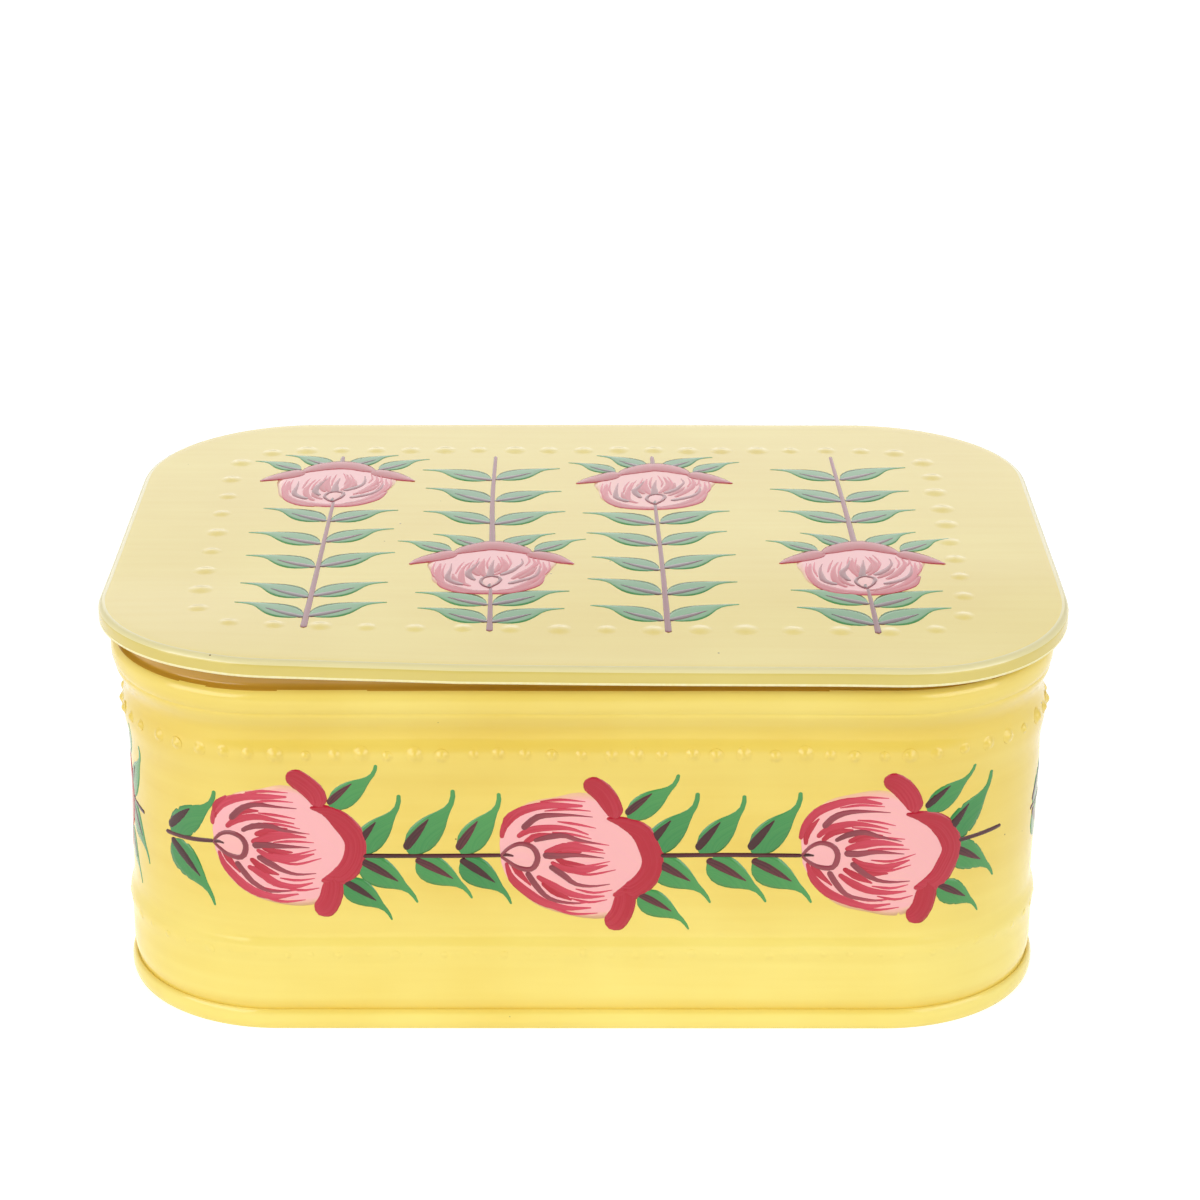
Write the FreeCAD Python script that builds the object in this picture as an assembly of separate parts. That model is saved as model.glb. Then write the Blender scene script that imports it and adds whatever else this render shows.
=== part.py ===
import FreeCAD, Part

import math
import os

# A painted sheet-metal keepsake box with a lift-off lid. Millimetres, +Z up,
# origin on the table under the middle of the box, +X along its length.

# Sheet and body: sizes over the flat outside of the wall
sheet = 0.6
wall_length = 171.0
wall_depth = 123.0
wall_corner_radius = 29.5
body_height = 74.0

# Low ridge pressed round the wall near its foot
ridge_height = 18.5
ridge_width = 7.5
ridge_crest = 2.5
ridge_proud = 0.55

# Shoulder and waist, measured down from the top of the rolled rim
panel_top_drop = 25.0
shoulder_drop = 18.7
shoulder_proud = 0.85
waist_drop = 14.2
waist_proud = 0.2

# Rolled rim: the mouth's edge is bent outward and down, and its cut edge tucks in at the waist
rim_proud = 2.1
rim_edge_drop = 11.6
rim_tuck_height = 4.7
rim_slit = 0.2

# Lap seam that closes the wrapped wall at the back
seam_width = 7.0
seam_foot_gap = 0.4

# Base pan: a raised floor, and a channel that the wall's foot stands in
floor_height = 1.6
floor_lap = 6.0
channel_clearance = 0.1
bead_height = 5.2
bead_bulge = 0.35
bead_foot_inset = 0.15

# Lid: overhangs the rim on every side, with a short lip turned down
lid_seat_gap = 0.2
lip_gap = 1.8
lip_height = 3.3
lid_bend_radius = 1.5

# Collar soldered under the lid, which centres it in the mouth
collar_clearance = 0.5
collar_height = 10.0
collar_flange = 5.0
collar_bend_radius = 1.0

# Border of punched dots on the lid
dot_border_inset = 19.0
dot_border_corner = 12.0
dot_radius = 1.9
dot_height = 0.5
dots_in_back_row = 19
dots_in_front_row = 16
dots_in_left_row = 9
dots_in_right_row = 10

# Derived sizes
straight_x = wall_length - 2 * wall_corner_radius
straight_y = wall_depth - 2 * wall_corner_radius
waist_height = body_height - waist_drop
mouth_face = waist_proud - sheet
lid_underside = body_height + lid_seat_gap
lid_top = lid_underside + sheet
lid_overhang = rim_proud + lip_gap + sheet
lid_length = wall_length + 2 * lid_overhang
lid_depth = wall_depth + 2 * lid_overhang

UP = FreeCAD.Vector(0, 0, 1)
ORIGIN = FreeCAD.Vector(0, 0, 0)
CUT_MARGIN = 1.0
DOT_SIDES = 8
FLATS_PER_RIGHT_ANGLE = 2
FLATS_INSIDE_SHOULDER = 3


def at(proud, height):
    """A point of a cross-section: proud of the wall's outside, at a height."""
    return FreeCAD.Vector(wall_corner_radius + proud, 0, height)


def chain(start, *steps):
    """Edges from a start point; a step is (end,) for a straight run or (middle, end) for an arc."""
    edges = []
    here = start
    for step in steps:
        end = step[-1]
        if len(step) == 1:
            edges.append(Part.LineSegment(here, end).toShape())
        else:
            edges.append(Part.Arc(here, step[0], end).toShape())
        here = end
    return edges


def on_circle(centre, radius, degrees):
    """A point of a cross-section's round stretch."""
    turn = math.radians(degrees)
    return centre + FreeCAD.Vector(radius * math.cos(turn), 0, radius * math.sin(turn))


def sheet_bend(centre, radius, start, end):
    """Steps round a tight bend of the sheet, in a few flats, as a hand-turned edge has."""
    flats = round(FLATS_PER_RIGHT_ANGLE * abs(end - start) / 90)
    turns = [start + (end - start) * index / flats for index in range(flats + 1)]
    return [(on_circle(centre, radius, turn),) for turn in turns]


def in_flats(edge):
    """A straight edge as it is, or an arc as a few flats, for the hidden side of a pressed form."""
    if not isinstance(edge.Curve, Part.Circle):
        return [edge]
    points = edge.discretize(Number=round(FLATS_INSIDE_SHOULDER) + 1)
    return chain(points[0], *[(point,) for point in points[1:]])


def face_of(edges):
    return Part.Face(Part.Wire(Part.__sortEdges__(edges)))


def placed(face, centre, degrees):
    """A cross-section turned about the corner axis and moved to a corner's centre."""
    copy = face.copy()
    copy.rotate(ORIGIN, UP, degrees)
    copy.translate(centre)
    return copy


def heading(degrees):
    turn = math.radians(degrees)
    return FreeCAD.Vector(math.cos(turn), math.sin(turn), 0)


def carried_round(face):
    """Carries a cross-section once round the box: four turned corners and four straight sides."""
    runs = []
    corners = ((1, 1), (-1, 1), (-1, -1), (1, -1))
    for index, (side_x, side_y) in enumerate(corners):
        centre = FreeCAD.Vector(side_x * straight_x / 2, side_y * straight_y / 2, 0)
        start = 90 * index
        length = straight_x if index % 2 == 0 else straight_y
        runs.append(placed(face, centre, start).revolve(centre, UP, 90))
        runs.append(placed(face, centre, start + 90).extrude(heading(start + 180) * length))
    return runs[0].fuse(runs[1:]).removeSplitter()


def rounded_slab(length, depth, radius, low, high):
    """A flat slab with round corners between two heights."""
    half_x = length / 2
    half_y = depth / 2
    edges = []
    for index, (side_x, side_y) in enumerate(((1, 1), (-1, 1), (-1, -1), (1, -1))):
        centre = FreeCAD.Vector(side_x * (half_x - radius), side_y * (half_y - radius), low)
        ends = [centre + heading(90 * index + turn) * radius for turn in (0, 45, 90)]
        edges.append(Part.Arc(*ends).toShape())
        run = (length if index % 2 == 0 else depth) - 2 * radius
        edges.append(Part.LineSegment(ends[2], ends[2] + heading(90 * index + 180) * run).toShape())
    return face_of(edges).extrude(UP * (high - low))


def wall_outside():
    """The wall's outside from its foot to the waist: panel, low ridge and shoulder."""
    return chain(
        at(0, sheet),
        (at(0, ridge_height - ridge_width / 2),),
        (at(ridge_proud, ridge_height - ridge_crest / 2),),
        (at(ridge_proud, ridge_height + ridge_crest / 2),),
        (at(0, ridge_height + ridge_width / 2),),
        (at(0, body_height - panel_top_drop),),
        (at(shoulder_proud, body_height - shoulder_drop), at(waist_proud, waist_height)),
    )


def rolled_rim():
    """The rim's outline, from the waist's outside up over the roll and back to the waist's inside."""
    bend_radius = (rim_proud - mouth_face) / 2
    bend = at(rim_proud - bend_radius, body_height - bend_radius)
    inner_bend = bend_radius - sheet
    knee_height = body_height - rim_edge_drop + rim_tuck_height
    tuck = rim_proud - sheet - (waist_proud + rim_slit)
    tuck_radius = (tuck ** 2 + rim_tuck_height ** 2) / (2 * tuck)
    tuck_turn = -math.degrees(math.asin(rim_tuck_height / tuck_radius))
    tuck_centre = at(rim_proud - sheet - tuck_radius, knee_height)
    outer_tuck = tuck_radius + sheet
    return chain(
        at(waist_proud, waist_height),
        *sheet_bend(bend, inner_bend, 180, 0),
        (on_circle(tuck_centre, tuck_radius, 0),),
        (on_circle(tuck_centre, tuck_radius, tuck_turn / 2),),
        (on_circle(tuck_centre, tuck_radius, tuck_turn),),
        (on_circle(tuck_centre, outer_tuck, tuck_turn),),
        (on_circle(tuck_centre, outer_tuck, tuck_turn / 2), on_circle(tuck_centre, outer_tuck, 0)),
        *sheet_bend(bend, bend_radius, 0, 180),
        (at(mouth_face, waist_height),),
    )


def lap_seam():
    """The wall's free end, lying over its other end at the middle of the back."""
    inside = wall_outside()
    outside = [edge.translated(FreeCAD.Vector(sheet, 0, 0)) for edge in inside]
    ends = chain(at(0, sheet), (at(sheet, sheet),))
    ends += chain(at(waist_proud, waist_height), (at(waist_proud + sheet, waist_height),))
    back = FreeCAD.Vector(seam_width / 2, straight_y / 2, 0)
    flap = placed(face_of(inside + outside + ends), back, 90).extrude(heading(180) * seam_width)
    reach = wall_corner_radius + shoulder_proud + sheet + CUT_MARGIN
    foot = Part.makeBox(
        seam_width + 2 * CUT_MARGIN,
        straight_y / 2 + reach,
        bead_height + seam_foot_gap,
        FreeCAD.Vector(-seam_width / 2 - CUT_MARGIN, 0, 0),
    )
    return flap.cut(foot)


def make_body_wall():
    outside = wall_outside()
    inside = []
    for edge in outside:
        inside += in_flats(edge.translated(FreeCAD.Vector(-sheet, 0, 0)))
    foot = chain(at(0, sheet), (at(-sheet, sheet),))
    wall = carried_round(face_of(outside + rolled_rim() + inside + foot))
    return wall.fuse(lap_seam())


def make_base_pan():
    leg_face = -sheet - channel_clearance
    floor_edge = leg_face - floor_lap
    bead_middle = bead_height / 2
    lip_inside = channel_clearance
    lip_outside = channel_clearance + sheet
    channel = chain(
        at(leg_face, floor_height + sheet),
        (at(leg_face, sheet),),
        (at(lip_inside, sheet),),
        (at(lip_inside + bead_bulge, bead_middle),),
        (at(lip_inside, bead_height),),
        (at(lip_outside, bead_height),),
        (at(lip_outside + bead_bulge, bead_middle), at(lip_outside - bead_foot_inset, 0)),
        (at(leg_face - sheet, 0),),
        (at(leg_face - sheet, floor_height),),
        (at(floor_edge, floor_height),),
        (at(floor_edge, floor_height + sheet),),
        (at(leg_face, floor_height + sheet),),
    )
    floor = rounded_slab(
        wall_length + 2 * leg_face - 2 * sheet,
        wall_depth + 2 * leg_face - 2 * sheet,
        wall_corner_radius + leg_face - sheet,
        floor_height,
        floor_height + sheet,
    )
    return carried_round(face_of(channel)).fuse(floor).removeSplitter()


def dot_places():
    """Where the lid's dots are punched: four rows round a rectangle with small round corners."""
    half_x = lid_length / 2 - dot_border_inset
    half_y = lid_depth / 2 - dot_border_inset
    run_x = half_x - dot_border_corner
    run_y = half_y - dot_border_corner
    rows = (
        (dots_in_right_row, 0, run_x, run_y),
        (dots_in_back_row, 90, run_y, run_x),
        (dots_in_left_row, 180, run_x, run_y),
        (dots_in_front_row, 270, run_y, run_x),
    )
    places = []
    for count, facing, out, along in rows:
        forward = heading(facing)
        sideways = heading(facing + 90)
        corners = [forward * out + sideways * (side * along) for side in (-1, 1)]
        bend = [[centre + heading(facing + turn) * dot_border_corner for turn in turns]
                for centre, turns in zip(corners, ((-45, -22.5, 0), (0, 22.5, 45)))]
        row = Part.Wire([
            Part.Arc(*bend[0]).toShape(),
            Part.LineSegment(bend[0][2], bend[1][0]).toShape(),
            Part.Arc(*bend[1]).toShape(),
        ])
        places += row.discretize(Number=2 * count + 1)[1::2]
    return places


def dot_pyramid(tip):
    """One dot as the punch leaves it: a low pyramid under its tip, reaching a sheet below its rim."""
    rim_drop = dot_height + sheet
    spread = dot_radius * rim_drop / dot_height
    rim = [tip - UP * rim_drop + heading(360 * index / DOT_SIDES) * spread for index in range(DOT_SIDES + 1)]
    sides = [Part.Face(Part.makePolygon([rim[i], rim[i + 1], tip, rim[i]])) for i in range(DOT_SIDES)]
    return Part.Solid(Part.makeShell(sides + [Part.Face(Part.makePolygon(rim))]))


def make_lid_plate():
    flat_edge = lid_overhang - lid_bend_radius
    bend = at(flat_edge, lid_top - lid_bend_radius)
    lip_edge = lid_top - lip_height
    lip = chain(
        at(flat_edge, lid_underside),
        *sheet_bend(bend, lid_bend_radius, 90, 0),
        (at(lid_overhang, lip_edge),),
        (at(lid_overhang - sheet, lip_edge),),
        *sheet_bend(bend, lid_bend_radius - sheet, 0, 90),
    )
    flat = rounded_slab(
        wall_length + 2 * flat_edge,
        wall_depth + 2 * flat_edge,
        wall_corner_radius + flat_edge,
        lid_underside,
        lid_top,
    )
    plate = carried_round(face_of(lip)).fuse(flat).removeSplitter()
    tips = [place + UP * (lid_top + dot_height) for place in dot_places()]
    dimples = [dot_pyramid(tip - UP * sheet) for tip in tips]
    return plate.fuse([dot_pyramid(tip) for tip in tips]).cut(dimples).removeSplitter()


def make_lid_collar():
    outer = mouth_face - collar_clearance
    inner = outer - sheet
    bend = at(outer - collar_bend_radius, lid_underside - collar_bend_radius)
    inner_bend = collar_bend_radius - sheet
    low = lid_underside - collar_height
    band = chain(
        at(outer, low),
        *sheet_bend(bend, collar_bend_radius, 0, 90),
        (at(outer - collar_flange, lid_underside),),
        (at(outer - collar_flange, lid_underside - sheet),),
        *sheet_bend(bend, inner_bend, 90, 0),
        (at(inner, low),),
        (at(outer, low),),
    )
    return carried_round(face_of(band))


pieces = {
    "body_wall": make_body_wall(),
    "base_pan": make_base_pan(),
    "lid_plate": make_lid_plate(),
    "lid_collar": make_lid_collar(),
}

os.makedirs("parts", exist_ok=True)
for name, shape in pieces.items():
    box = shape.optimalBoundingBox()
    print(name, "valid", shape.isValid(), "solids", len(shape.Solids), "volume %.0f" % shape.Volume,
          "size %.2f x %.2f x %.2f" % (box.XLength, box.YLength, box.ZLength), "from z %.2f" % box.ZMin)
    shape.exportStep("parts/%s.step" % name)
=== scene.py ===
# %% [markdown]
# # A hand-painted metal keepsake box
# The real box is thin tinned sheet: a wall bent round and lapped at the back, a pan folded on as the
# foot, and a loose lid. It was brushed with yellow enamel, decorated with sprays of flowers and varnished.
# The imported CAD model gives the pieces, their places and how the lid moves. This lesson dresses it:
# sheets with the unevenness of hand work, punched dots, brush strokes that have thickness, and the light.

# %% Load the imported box
import math
import random

import bmesh
import bpy
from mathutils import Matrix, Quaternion, Vector, noise


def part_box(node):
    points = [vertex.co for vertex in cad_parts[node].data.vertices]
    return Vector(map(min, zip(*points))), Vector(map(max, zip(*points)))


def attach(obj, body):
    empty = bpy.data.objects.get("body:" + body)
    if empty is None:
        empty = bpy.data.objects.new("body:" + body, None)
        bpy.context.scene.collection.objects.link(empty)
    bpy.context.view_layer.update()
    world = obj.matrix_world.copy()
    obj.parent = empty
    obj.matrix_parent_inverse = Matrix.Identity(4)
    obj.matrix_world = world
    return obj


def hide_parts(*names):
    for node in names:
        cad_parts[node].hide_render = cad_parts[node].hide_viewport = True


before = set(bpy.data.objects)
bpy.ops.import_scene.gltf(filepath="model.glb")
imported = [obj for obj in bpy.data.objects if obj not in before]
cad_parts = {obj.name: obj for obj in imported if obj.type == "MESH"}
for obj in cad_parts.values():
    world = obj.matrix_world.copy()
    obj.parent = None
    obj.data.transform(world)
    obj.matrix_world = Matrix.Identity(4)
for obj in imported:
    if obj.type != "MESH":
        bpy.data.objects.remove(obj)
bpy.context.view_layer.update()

MM = 0.001
wall_low, wall_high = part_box("body_wall")
lid_low, lid_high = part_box("lid_plate")
pan_low, pan_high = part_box("base_pan")

# %% [markdown]
# ## The camera
# The photograph looks at the front, a little down on the lid, through a long lens. A camera fitted to the
# outlines of lid, rim and foot gives the numbers below, so a render can be laid over the photograph.

# %% Camera
IMAGE_SIDE_PX = 1200
FOCAL_LENGTH_PX = 3278
SENSOR_MM = 36
CAMERA_DISTANCE = 642.1 * MM
CAMERA_DOWN = math.radians(21.83)
CAMERA_YAW = math.radians(0.10)
CAMERA_ROLL = math.radians(0.08)
LOOK_POINT = Vector((3.43, 0, 60.69)) * MM

camera_data = bpy.data.cameras.new("camera")
camera_data.sensor_width = SENSOR_MM
camera_data.lens = FOCAL_LENGTH_PX / IMAGE_SIDE_PX * SENSOR_MM
camera = bpy.data.objects.new("camera", camera_data)
level = math.cos(CAMERA_DOWN)
forward = Vector((math.sin(CAMERA_YAW) * level, math.cos(CAMERA_YAW) * level, -math.sin(CAMERA_DOWN)))
camera.location = LOOK_POINT - forward * CAMERA_DISTANCE
roll = Quaternion((0, 0, 1), CAMERA_ROLL)
camera.rotation_euler = (forward.to_track_quat("-Z", "Y") @ roll).to_euler()
bpy.context.collection.objects.link(camera)
bpy.context.scene.camera = camera
bpy.context.scene.view_settings.view_transform = "Standard"
print("lens in mm", round(camera_data.lens, 2))

# %% [markdown]
# ## Helpers for node trees
# Materials and geometry trees are both node trees, so one small function adds a node to either of them:
# it sets the node's own settings, fills its sockets with values, and links the sockets that are given
# another node's output. Colours are written as the hex values that a paint chart would give.

# %% One function for nodes, one for colours
def add(tree, kind, sockets=None, **settings):
    """Adds a node; sockets gives a value, or an output to link, for each input by name or number."""
    made = tree.nodes.new(kind)
    for name, value in settings.items():
        setattr(made, name, value)
    for key, value in (sockets or {}).items():
        if isinstance(value, bpy.types.NodeSocket):
            tree.links.new(value, made.inputs[key])
        else:
            made.inputs[key].default_value = value
    return made


def colour(code):
    """A linear colour from an sRGB hex value such as F2D873."""
    shares = [int(code[place:place + 2], 16) / 255 for place in (0, 2, 4)]
    linear = [share / 12.92 if share <= 0.04045 else ((share + 0.055) / 1.055) ** 2.4 for share in shares]
    return (*linear, 1)


def new_material(name):
    """An empty material, its node tree and its output node."""
    material = bpy.data.materials.new(name)
    material.use_nodes = True
    material.node_tree.nodes.clear()
    return material, material.node_tree, add(material.node_tree, "ShaderNodeOutputMaterial")


print("yellow in linear light", [round(part, 3) for part in colour("F0D873")])

# %% [markdown]
# ## Floor and light
# The photograph has a white table that runs out to white. The floor here is a pale diffuse sheet, and only
# rays from the camera, and those that glossy paint mirrors, see it lifted to white, so it keeps the shadow.
# Two broad soft lamps stand low at the front left and right. A wide one behind is what the lid mirrors. The
# room on the camera's side is darker, so the varnish shows how the sheet leans.

# %% Floor and world
FLOOR_SIDE = 8.0
FLOOR_FRONT = -0.42
FLOOR_LIFT_TO_WHITE = 0.6
WORLD_LEVEL = 0.30
DARK_ROOM_LEVEL = 0.2
DARK_ROOM_SPAN = (-0.75, -0.25)


def seen_directly(tree):
    """1 for rays from the camera and for those that gloss or glass sends on, 0 for the light itself."""
    rays = add(tree, "ShaderNodeLightPath").outputs
    gloss = add(
        tree,
        "ShaderNodeMath",
        {0: rays["Is Glossy Ray"], 1: rays["Is Transmission Ray"]},
        operation="MAXIMUM",
    )
    both = add(tree, "ShaderNodeMath", {0: rays["Is Camera Ray"], 1: gloss.outputs[0]}, operation="MAXIMUM")
    return both.outputs[0]


paper, tree, output = new_material("pale_matt_paper_sweep")
matt = add(tree, "ShaderNodeBsdfDiffuse", {"Color": colour("F2F2F1")})
lift = add(tree, "ShaderNodeMath", {0: seen_directly(tree), 1: FLOOR_LIFT_TO_WHITE}, operation="MULTIPLY")
glow = add(tree, "ShaderNodeEmission", {"Color": colour("FFFFFF"), "Strength": lift.outputs[0]})
lit = add(tree, "ShaderNodeAddShader", {0: matt.outputs[0], 1: glow.outputs[0]})
tree.links.new(lit.outputs[0], output.inputs["Surface"])

floor_mesh = bpy.data.meshes.new("floor")
half_floor = FLOOR_SIDE / 2
floor_corners = [
    (-half_floor, FLOOR_FRONT, 0),
    (half_floor, FLOOR_FRONT, 0),
    (half_floor, half_floor, 0),
    (-half_floor, half_floor, 0),
]
floor_mesh.from_pydata(floor_corners, [], [(0, 1, 2, 3)])
floor_mesh.materials.append(paper)
floor = bpy.data.objects.new("floor", floor_mesh)
bpy.context.collection.objects.link(floor)

world = bpy.data.worlds.new("white_studio")
world.use_nodes = True
bpy.context.scene.world = world
sky = world.node_tree
sky.nodes.clear()
towards = add(sky, "ShaderNodeSeparateXYZ", {0: add(sky, "ShaderNodeTexCoord").outputs["Generated"]})
room = add(
    sky,
    "ShaderNodeMapRange",
    {
        "Value": towards.outputs["Y"],
        "From Min": DARK_ROOM_SPAN[0],
        "From Max": DARK_ROOM_SPAN[1],
        "To Min": DARK_ROOM_LEVEL,
    },
)
sky_rays = add(sky, "ShaderNodeLightPath").outputs
seen = add(
    sky, "ShaderNodeMath", {0: room.outputs[0], 1: sky_rays["Is Camera Ray"]}, operation="MAXIMUM"
)
level_by_ray = add(
    sky,
    "ShaderNodeMix",
    {"Factor": seen_directly(sky), 2: WORLD_LEVEL, 3: seen.outputs[0]},
    data_type="FLOAT",
)
shell = add(sky, "ShaderNodeBackground", {"Color": colour("FFFFFF"), "Strength": level_by_ray.outputs[0]})
add(sky, "ShaderNodeOutputWorld", {"Surface": shell.outputs[0]})
print("floor side in m", FLOOR_SIDE)

# %% Lamps
LAMPS = (
    # name, place in m, width and height in m, power in W
    ("front_left_softbox", (-0.66, -0.57, 0.36), (0.80, 0.60), 5.0),
    ("front_right_softbox", (0.70, -0.55, 0.36), (0.80, 0.60), 4.3),
    ("back_softbox", (0.0, 1.05, 0.62), (1.30, 1.00), 4.9),
)
for name, place, sides, power in LAMPS:
    lamp_data = bpy.data.lights.new(name, "AREA")
    lamp_data.shape = "RECTANGLE"
    lamp_data.size, lamp_data.size_y = sides
    lamp_data.energy = power
    lamp = bpy.data.objects.new(name, lamp_data)
    lamp.location = place
    lamp.rotation_euler = (LOOK_POINT - Vector(place)).to_track_quat("-Z", "Y").to_euler()
    bpy.context.collection.objects.link(lamp)
print("lamps", len(LAMPS))

# %% [markdown]
# ## The finishes
# Yellow: an oil enamel brushed on in level strokes over a primed sheet, then varnished. The eye gets a warm
# even yellow with faint level streaks, a few dark pinholes, and a clear wet gloss on top.
# The decoration is the same kind of enamel from small brushes, so each stroke carries streaks along its
# own length. The inside is left as rolled tinplate: grey, half bright, drawn out in one direction.

# %% Yellow enamel
# A real brush leaves marks a few tenths of a millimetre wide, too fine to show here, so the streaks are drawn
# some millimetres wide. A pinhole is drawn about twice its real size for the same reason.
STREAK_LENGTH = 45 * MM
STREAK_WIDTH = 2.4 * MM
STREAK_SHARE = 0.45
CLOUD_SIZE = 28 * MM
TONE_SPAN = (0.45, 1.0)
PINHOLE_CELL = 9 * MM
PINHOLE_RADIUS = 0.24 * MM
PINHOLE_CORE = 0.6
PINHOLE_COLOUR = "7A6330"
BRUSH_MARK_DEPTH = 0.05 * MM
BRUSH_MARK_STRENGTH = 0.06
ENAMEL_ROUGHNESS = (0.26, 0.34)
VARNISH_IOR = 1.5
VARNISH = {
    # the colour comes from the paint, and all of the gloss from the clear coat on top
    "Specular IOR Level": 0.0,
    "Coat Weight": 1.0,
    "Coat Roughness": 0.15,
    "Coat IOR": VARNISH_IOR,
}


def brushed_yellow_enamel(name, streak_sizes, deep, pale, painted_shade_bands=()):
    """Yellow enamel between two tones; its streaks are drawn out by the given size along X, Y and Z.

    A band of painted shade deepens it between two heights, each given as where the change starts and where it
    ends.
    """
    material, tree, output = new_material(name)
    place = add(tree, "ShaderNodeTexCoord").outputs["Object"]
    drawn = add(tree, "ShaderNodeMapping", {"Vector": place, "Scale": [1 / size for size in streak_sizes]})
    streaks = add(tree, "ShaderNodeTexNoise", {"Vector": drawn.outputs[0], "Scale": 1, "Detail": 3})
    clouds = add(tree, "ShaderNodeTexNoise", {"Vector": place, "Scale": 1 / CLOUD_SIZE, "Detail": 2})
    both = add(
        tree,
        "ShaderNodeMath",
        {0: streaks.outputs[0], 1: STREAK_SHARE, 2: clouds.outputs[0]},
        operation="MULTIPLY_ADD",
    )
    tone = add(
        tree,
        "ShaderNodeMapRange",
        {"Value": both.outputs[0], "From Min": TONE_SPAN[0], "From Max": TONE_SPAN[1]},
    )
    yellow = add(
        tree,
        "ShaderNodeMix",
        {"Factor": tone.outputs[0], 6: colour(deep), 7: colour(pale)},
        data_type="RGBA",
    )
    height = add(tree, "ShaderNodeSeparateXYZ", {0: place}).outputs["Z"]
    # painted shade: each band multiplies the yellow darker between its heights
    for tint, rising, falling in painted_shade_bands:
        begun, ended = [
            add(tree, "ShaderNodeMapRange", {"Value": height, "From Min": low * MM, "From Max": high * MM})
            for low, high in (rising, falling)
        ]
        share = add(
            tree, "ShaderNodeMath", {0: begun.outputs[0], 1: ended.outputs[0]}, operation="SUBTRACT"
        )
        yellow = add(
            tree,
            "ShaderNodeMix",
            {"Factor": share.outputs[0], 6: yellow.outputs[2], 7: colour(tint)},
            data_type="RGBA",
            blend_type="MULTIPLY",
        )
    cells = add(tree, "ShaderNodeTexVoronoi", {"Vector": place, "Scale": 1 / PINHOLE_CELL})
    pinholes = add(
        tree,
        "ShaderNodeMapRange",
        {
            "Value": cells.outputs["Distance"],
            "From Min": PINHOLE_CORE * PINHOLE_RADIUS / PINHOLE_CELL,
            "From Max": PINHOLE_RADIUS / PINHOLE_CELL,
        },
    )
    pitted = add(
        tree,
        "ShaderNodeMix",
        {"Factor": pinholes.outputs[0], 6: colour(PINHOLE_COLOUR), 7: yellow.outputs[2]},
        data_type="RGBA",
    )
    relief = add(
        tree,
        "ShaderNodeBump",
        {"Height": streaks.outputs[0], "Strength": BRUSH_MARK_STRENGTH, "Distance": BRUSH_MARK_DEPTH},
    )
    roughness = add(
        tree,
        "ShaderNodeMapRange",
        {"Value": streaks.outputs[0], "To Min": ENAMEL_ROUGHNESS[0], "To Max": ENAMEL_ROUGHNESS[1]},
    )
    paint = add(
        tree,
        "ShaderNodeBsdfPrincipled",
        {
            "Base Color": pitted.outputs[2],
            "Roughness": roughness.outputs[0],
            "Normal": relief.outputs[0],
            **VARNISH,
        },
    )
    tree.links.new(paint.outputs[0], output.inputs["Surface"])
    return material


level_streaks = (STREAK_LENGTH, STREAK_LENGTH, STREAK_WIDTH)
lengthwise_streaks = (STREAK_LENGTH, STREAK_WIDTH, STREAK_LENGTH)
WALL_PAINTED_SHADE_BANDS = (
    # painted shade, as a tint, then heights in mm: the panel above the ridge, so that the foot band below
    # looks lit by the floor, the waist above the shoulder, the bead's crease
    ("F6EEDA", (15, 30), (60, 74)),
    ("FCF9E6", (55.5, 57.5), (61.0, 63.0)),
    ("F8F0D4", (3.2, 3.9), (4.6, 6.4)),
)
# the same paint in five coats: even on the wall with bands of painted shade, streaked lengthwise on the lid,
# darker on the lid's lip as painted shade, darker in the neck as the painted shadow under the lid, and pale
# cream on the lid's bend as a painted highlight
wall_enamel = brushed_yellow_enamel(
    "brushed_yellow_enamel_level", level_streaks, "F3DB6D", "FBE982", WALL_PAINTED_SHADE_BANDS
)
lid_enamel = brushed_yellow_enamel("brushed_yellow_enamel_lengthwise", lengthwise_streaks, "EAD060", "F0DB6E")
lip_painted_shade_enamel = brushed_yellow_enamel("brushed_yellow_enamel_thin_on_lip", level_streaks, "D8C467", "E0CD74")
neck_painted_shade_enamel = brushed_yellow_enamel("brushed_yellow_enamel_dark_in_neck", level_streaks, "BC8E2C", "CEA03A")
bend_painted_highlight_enamel = brushed_yellow_enamel("brushed_yellow_enamel_pale_on_bend", level_streaks, "E9DDA0", "EFE4AC")
yellow_coats = (wall_enamel, lid_enamel, lip_painted_shade_enamel, neck_painted_shade_enamel, bend_painted_highlight_enamel)
print("yellow enamels", *[coat.name for coat in yellow_coats])

# %% Pale edge on the lid's cut sheet: thin enamel, painted lighter as a highlight
# enamel thin over the raw edge, painted pale as a highlight along it: an uneven pale line with little gloss
GRIT_SIZE = 0.8 * MM
EDGE_ROUGHNESS = 0.5

cut_edge_and_highlight, tree, output = new_material("thin_enamel_over_cut_edge")
place = add(tree, "ShaderNodeTexCoord").outputs["Object"]
grit = add(tree, "ShaderNodeTexNoise", {"Vector": place, "Scale": 1 / GRIT_SIZE, "Detail": 2})
thinned = add(
    tree,
    "ShaderNodeMix",
    {"Factor": grit.outputs[0], 6: colour("EFE08C"), 7: colour("FBF6D2")},
    data_type="RGBA",
)
paint = add(
    tree,
    "ShaderNodeBsdfPrincipled",
    {"Base Color": thinned.outputs[2], "Roughness": EDGE_ROUGHNESS, "IOR": VARNISH_IOR},
)
tree.links.new(paint.outputs[0], output.inputs["Surface"])
print("edge finish", cut_edge_and_highlight.name)

# %% Decorating enamels
# A soft brush's bristles leave marks near 0.1 mm, too fine to show here, so they are drawn 0.35 mm wide. Both
# sizes are in the millimetres of the strokes' own UV map.
BRISTLE_WIDTH = 0.35
BRISTLE_LENGTH = 14.0
BRISTLE_SHARE = 0.5
BRISTLE_STRENGTH = 0.2
STROKE_TONE_SPAN = (0.25, 1.25)
STROKE_ROUGHNESS = 0.32


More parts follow.
